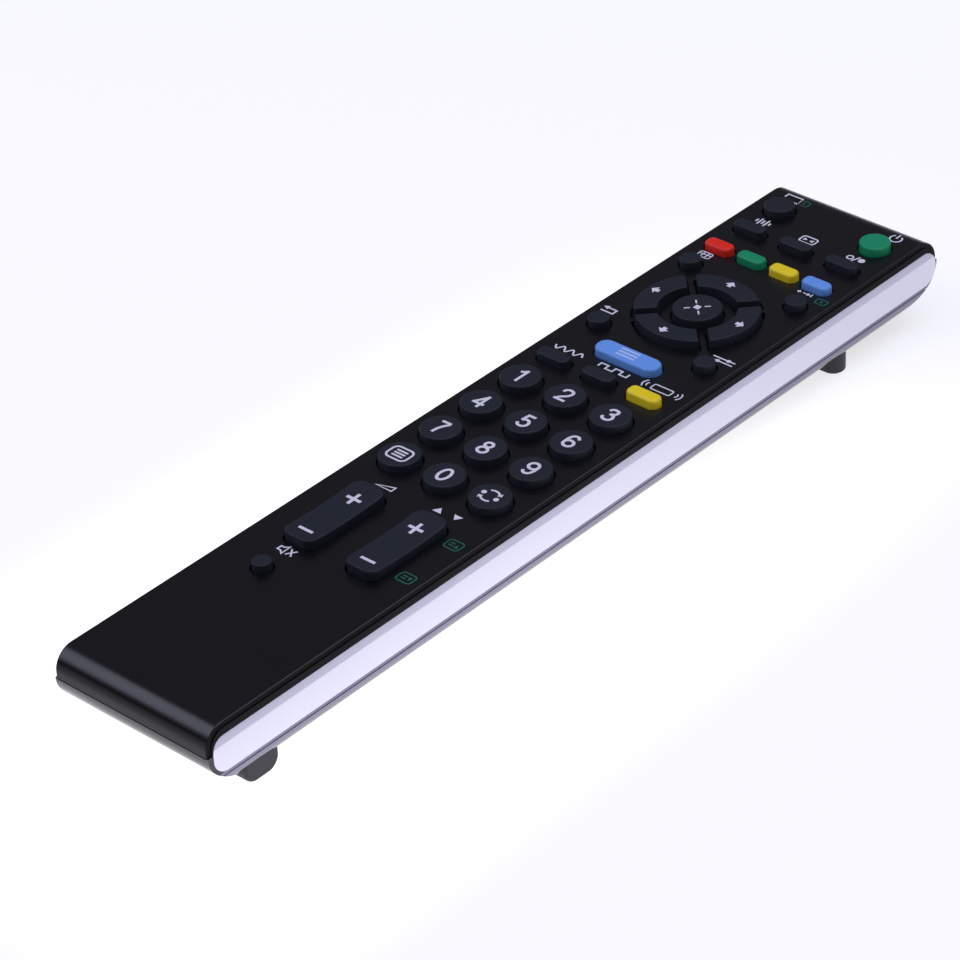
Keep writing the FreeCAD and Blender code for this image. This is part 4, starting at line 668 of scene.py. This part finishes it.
def make_floor():
    """A plain pale table top, which glows a little, most where the near half of the remote lies."""
    work = bmesh.new()
    bmesh.ops.create_grid(work, x_segments=1, y_segments=1, size=TABLE_REACH)
    mesh = bpy.data.meshes.new("table_top")
    work.to_mesh(mesh)
    work.free()
    floor = bpy.data.objects.new("table_top", mesh)
    bpy.context.scene.collection.objects.link(floor)
    material = bpy.data.materials.new("Plain pale table")
    material.use_nodes = True
    tree = material.node_tree
    tree.nodes.clear()
    # How far a point of the table lies outside the outline of the case
    place = add(tree, "ShaderNodeTexCoord").outputs["Object"]
    mirrored = add(tree, "ShaderNodeVectorMath", {"operation": "ABSOLUTE"}, {0: place})
    beyond = add(tree, "ShaderNodeVectorMath", {"operation": "SUBTRACT", 1: CASE_OUTLINE},
                 {0: mirrored.outputs[0]})
    outside = add(tree, "ShaderNodeVectorMath", {"operation": "MAXIMUM", 1: (0, 0, 0)},
                  {0: beyond.outputs[0]})
    distance = add(tree, "ShaderNodeVectorMath", {"operation": "LENGTH"}, {0: outside.outputs[0]})
    glow = add(tree, "ShaderNodeMapRange", {"interpolation_type": "SMOOTHSTEP", "From Min": 0.0,
                                            "From Max": GLOW_REACH, "To Min": GLOW, "To Max": 0.0},
               {"Value": distance.outputs["Value"]})
    along = add(tree, "ShaderNodeSeparateXYZ", links={0: place})
    fade = add(tree, "ShaderNodeMapRange", {"interpolation_type": "SMOOTHSTEP", "From Min": FADE_START,
                                            "From Max": FADE_END, "To Min": 1.0, "To Max": FADE_LEFT},
               {"Value": along.outputs["Y"]})
    strength = add(tree, "ShaderNodeMath", {"operation": "MULTIPLY_ADD", 2: TABLE_LIGHT},
                   {0: glow.outputs[0], 1: fade.outputs[0]})
    # Painted board of a studio table: matt and nearly white
    shader = add(tree, "ShaderNodeBsdfPrincipled", {"Base Color": linear("#bdbdc2"), "Roughness": 0.9,
                                                    "Emission Color": linear("#ffffff")},
                 {"Emission Strength": strength.outputs[0]})
    add(tree, "ShaderNodeOutputMaterial", links={"Surface": shader.outputs[0]})
    mesh.materials.append(material)


# Softboxes: place, the point they face, length of their sides and watts
SOFTBOXES = {
    "main_softbox": ((-0.62, -0.58, 0.78), (0, -0.1, 0), 0.8, 4.8),
    "overhead_softbox": ((0.3, 0.3, 1.1), (0, 0, 0), 1.3, 9),
    "side_softbox": ((0.8, -0.8, 0.35), (0, 0, 0), 1.0, 0.8),
}


def make_softbox(name, place, aim, size, power):
    """A square softbox with the cool cast of studio tubes."""
    lamp = bpy.data.lights.new(name, "AREA")
    lamp.color = linear("#e4e4ff")[:3]
    lamp.shape = "SQUARE"
    lamp.size = size
    lamp.energy = power
    light = bpy.data.objects.new(name, lamp)
    light.location = place
    light.rotation_euler = (Vector(aim) - Vector(place)).to_track_quat("-Z", "Y").to_euler()
    bpy.context.scene.collection.objects.link(light)


def make_world():
    """The faint cool light of the room."""
    world = bpy.data.worlds.new("studio")
    bpy.context.scene.world = world
    world.use_nodes = True
    tree = world.node_tree
    tree.nodes.clear()
    shader = add(tree, "ShaderNodeBackground", {"Color": linear("#e8e8ff"), "Strength": 0.14})
    add(tree, "ShaderNodeOutputWorld", links={"Surface": shader.outputs[0]})


# The camera as it was fitted to the photograph: place, turn in degrees, lens and sensor in millimetres
CAMERA_PLACE = (0.46877, -0.51651, 0.47998)
CAMERA_TURN = (55.9285, 2.2784, 41.5192)
CAMERA_LENS = 146.79
CAMERA_SENSOR = 36.0
CAMERA_SHIFT = -0.0012


def make_camera():
    """The camera stands where the photograph was taken from."""
    lens = bpy.data.cameras.new("camera")
    lens.sensor_width = CAMERA_SENSOR
    lens.lens = CAMERA_LENS
    lens.shift_x = CAMERA_SHIFT
    lens.clip_start = 0.01
    lens.clip_end = 50.0
    camera = bpy.data.objects.new("camera", lens)
    camera.location = CAMERA_PLACE
    camera.rotation_euler = [math.radians(angle) for angle in CAMERA_TURN]
    bpy.context.scene.collection.objects.link(camera)
    bpy.context.scene.camera = camera


make_floor()
for name, settings in SOFTBOXES.items():
    make_softbox(name, *settings)
make_world()
make_camera()
bpy.context.scene.view_settings.view_transform = "Standard"
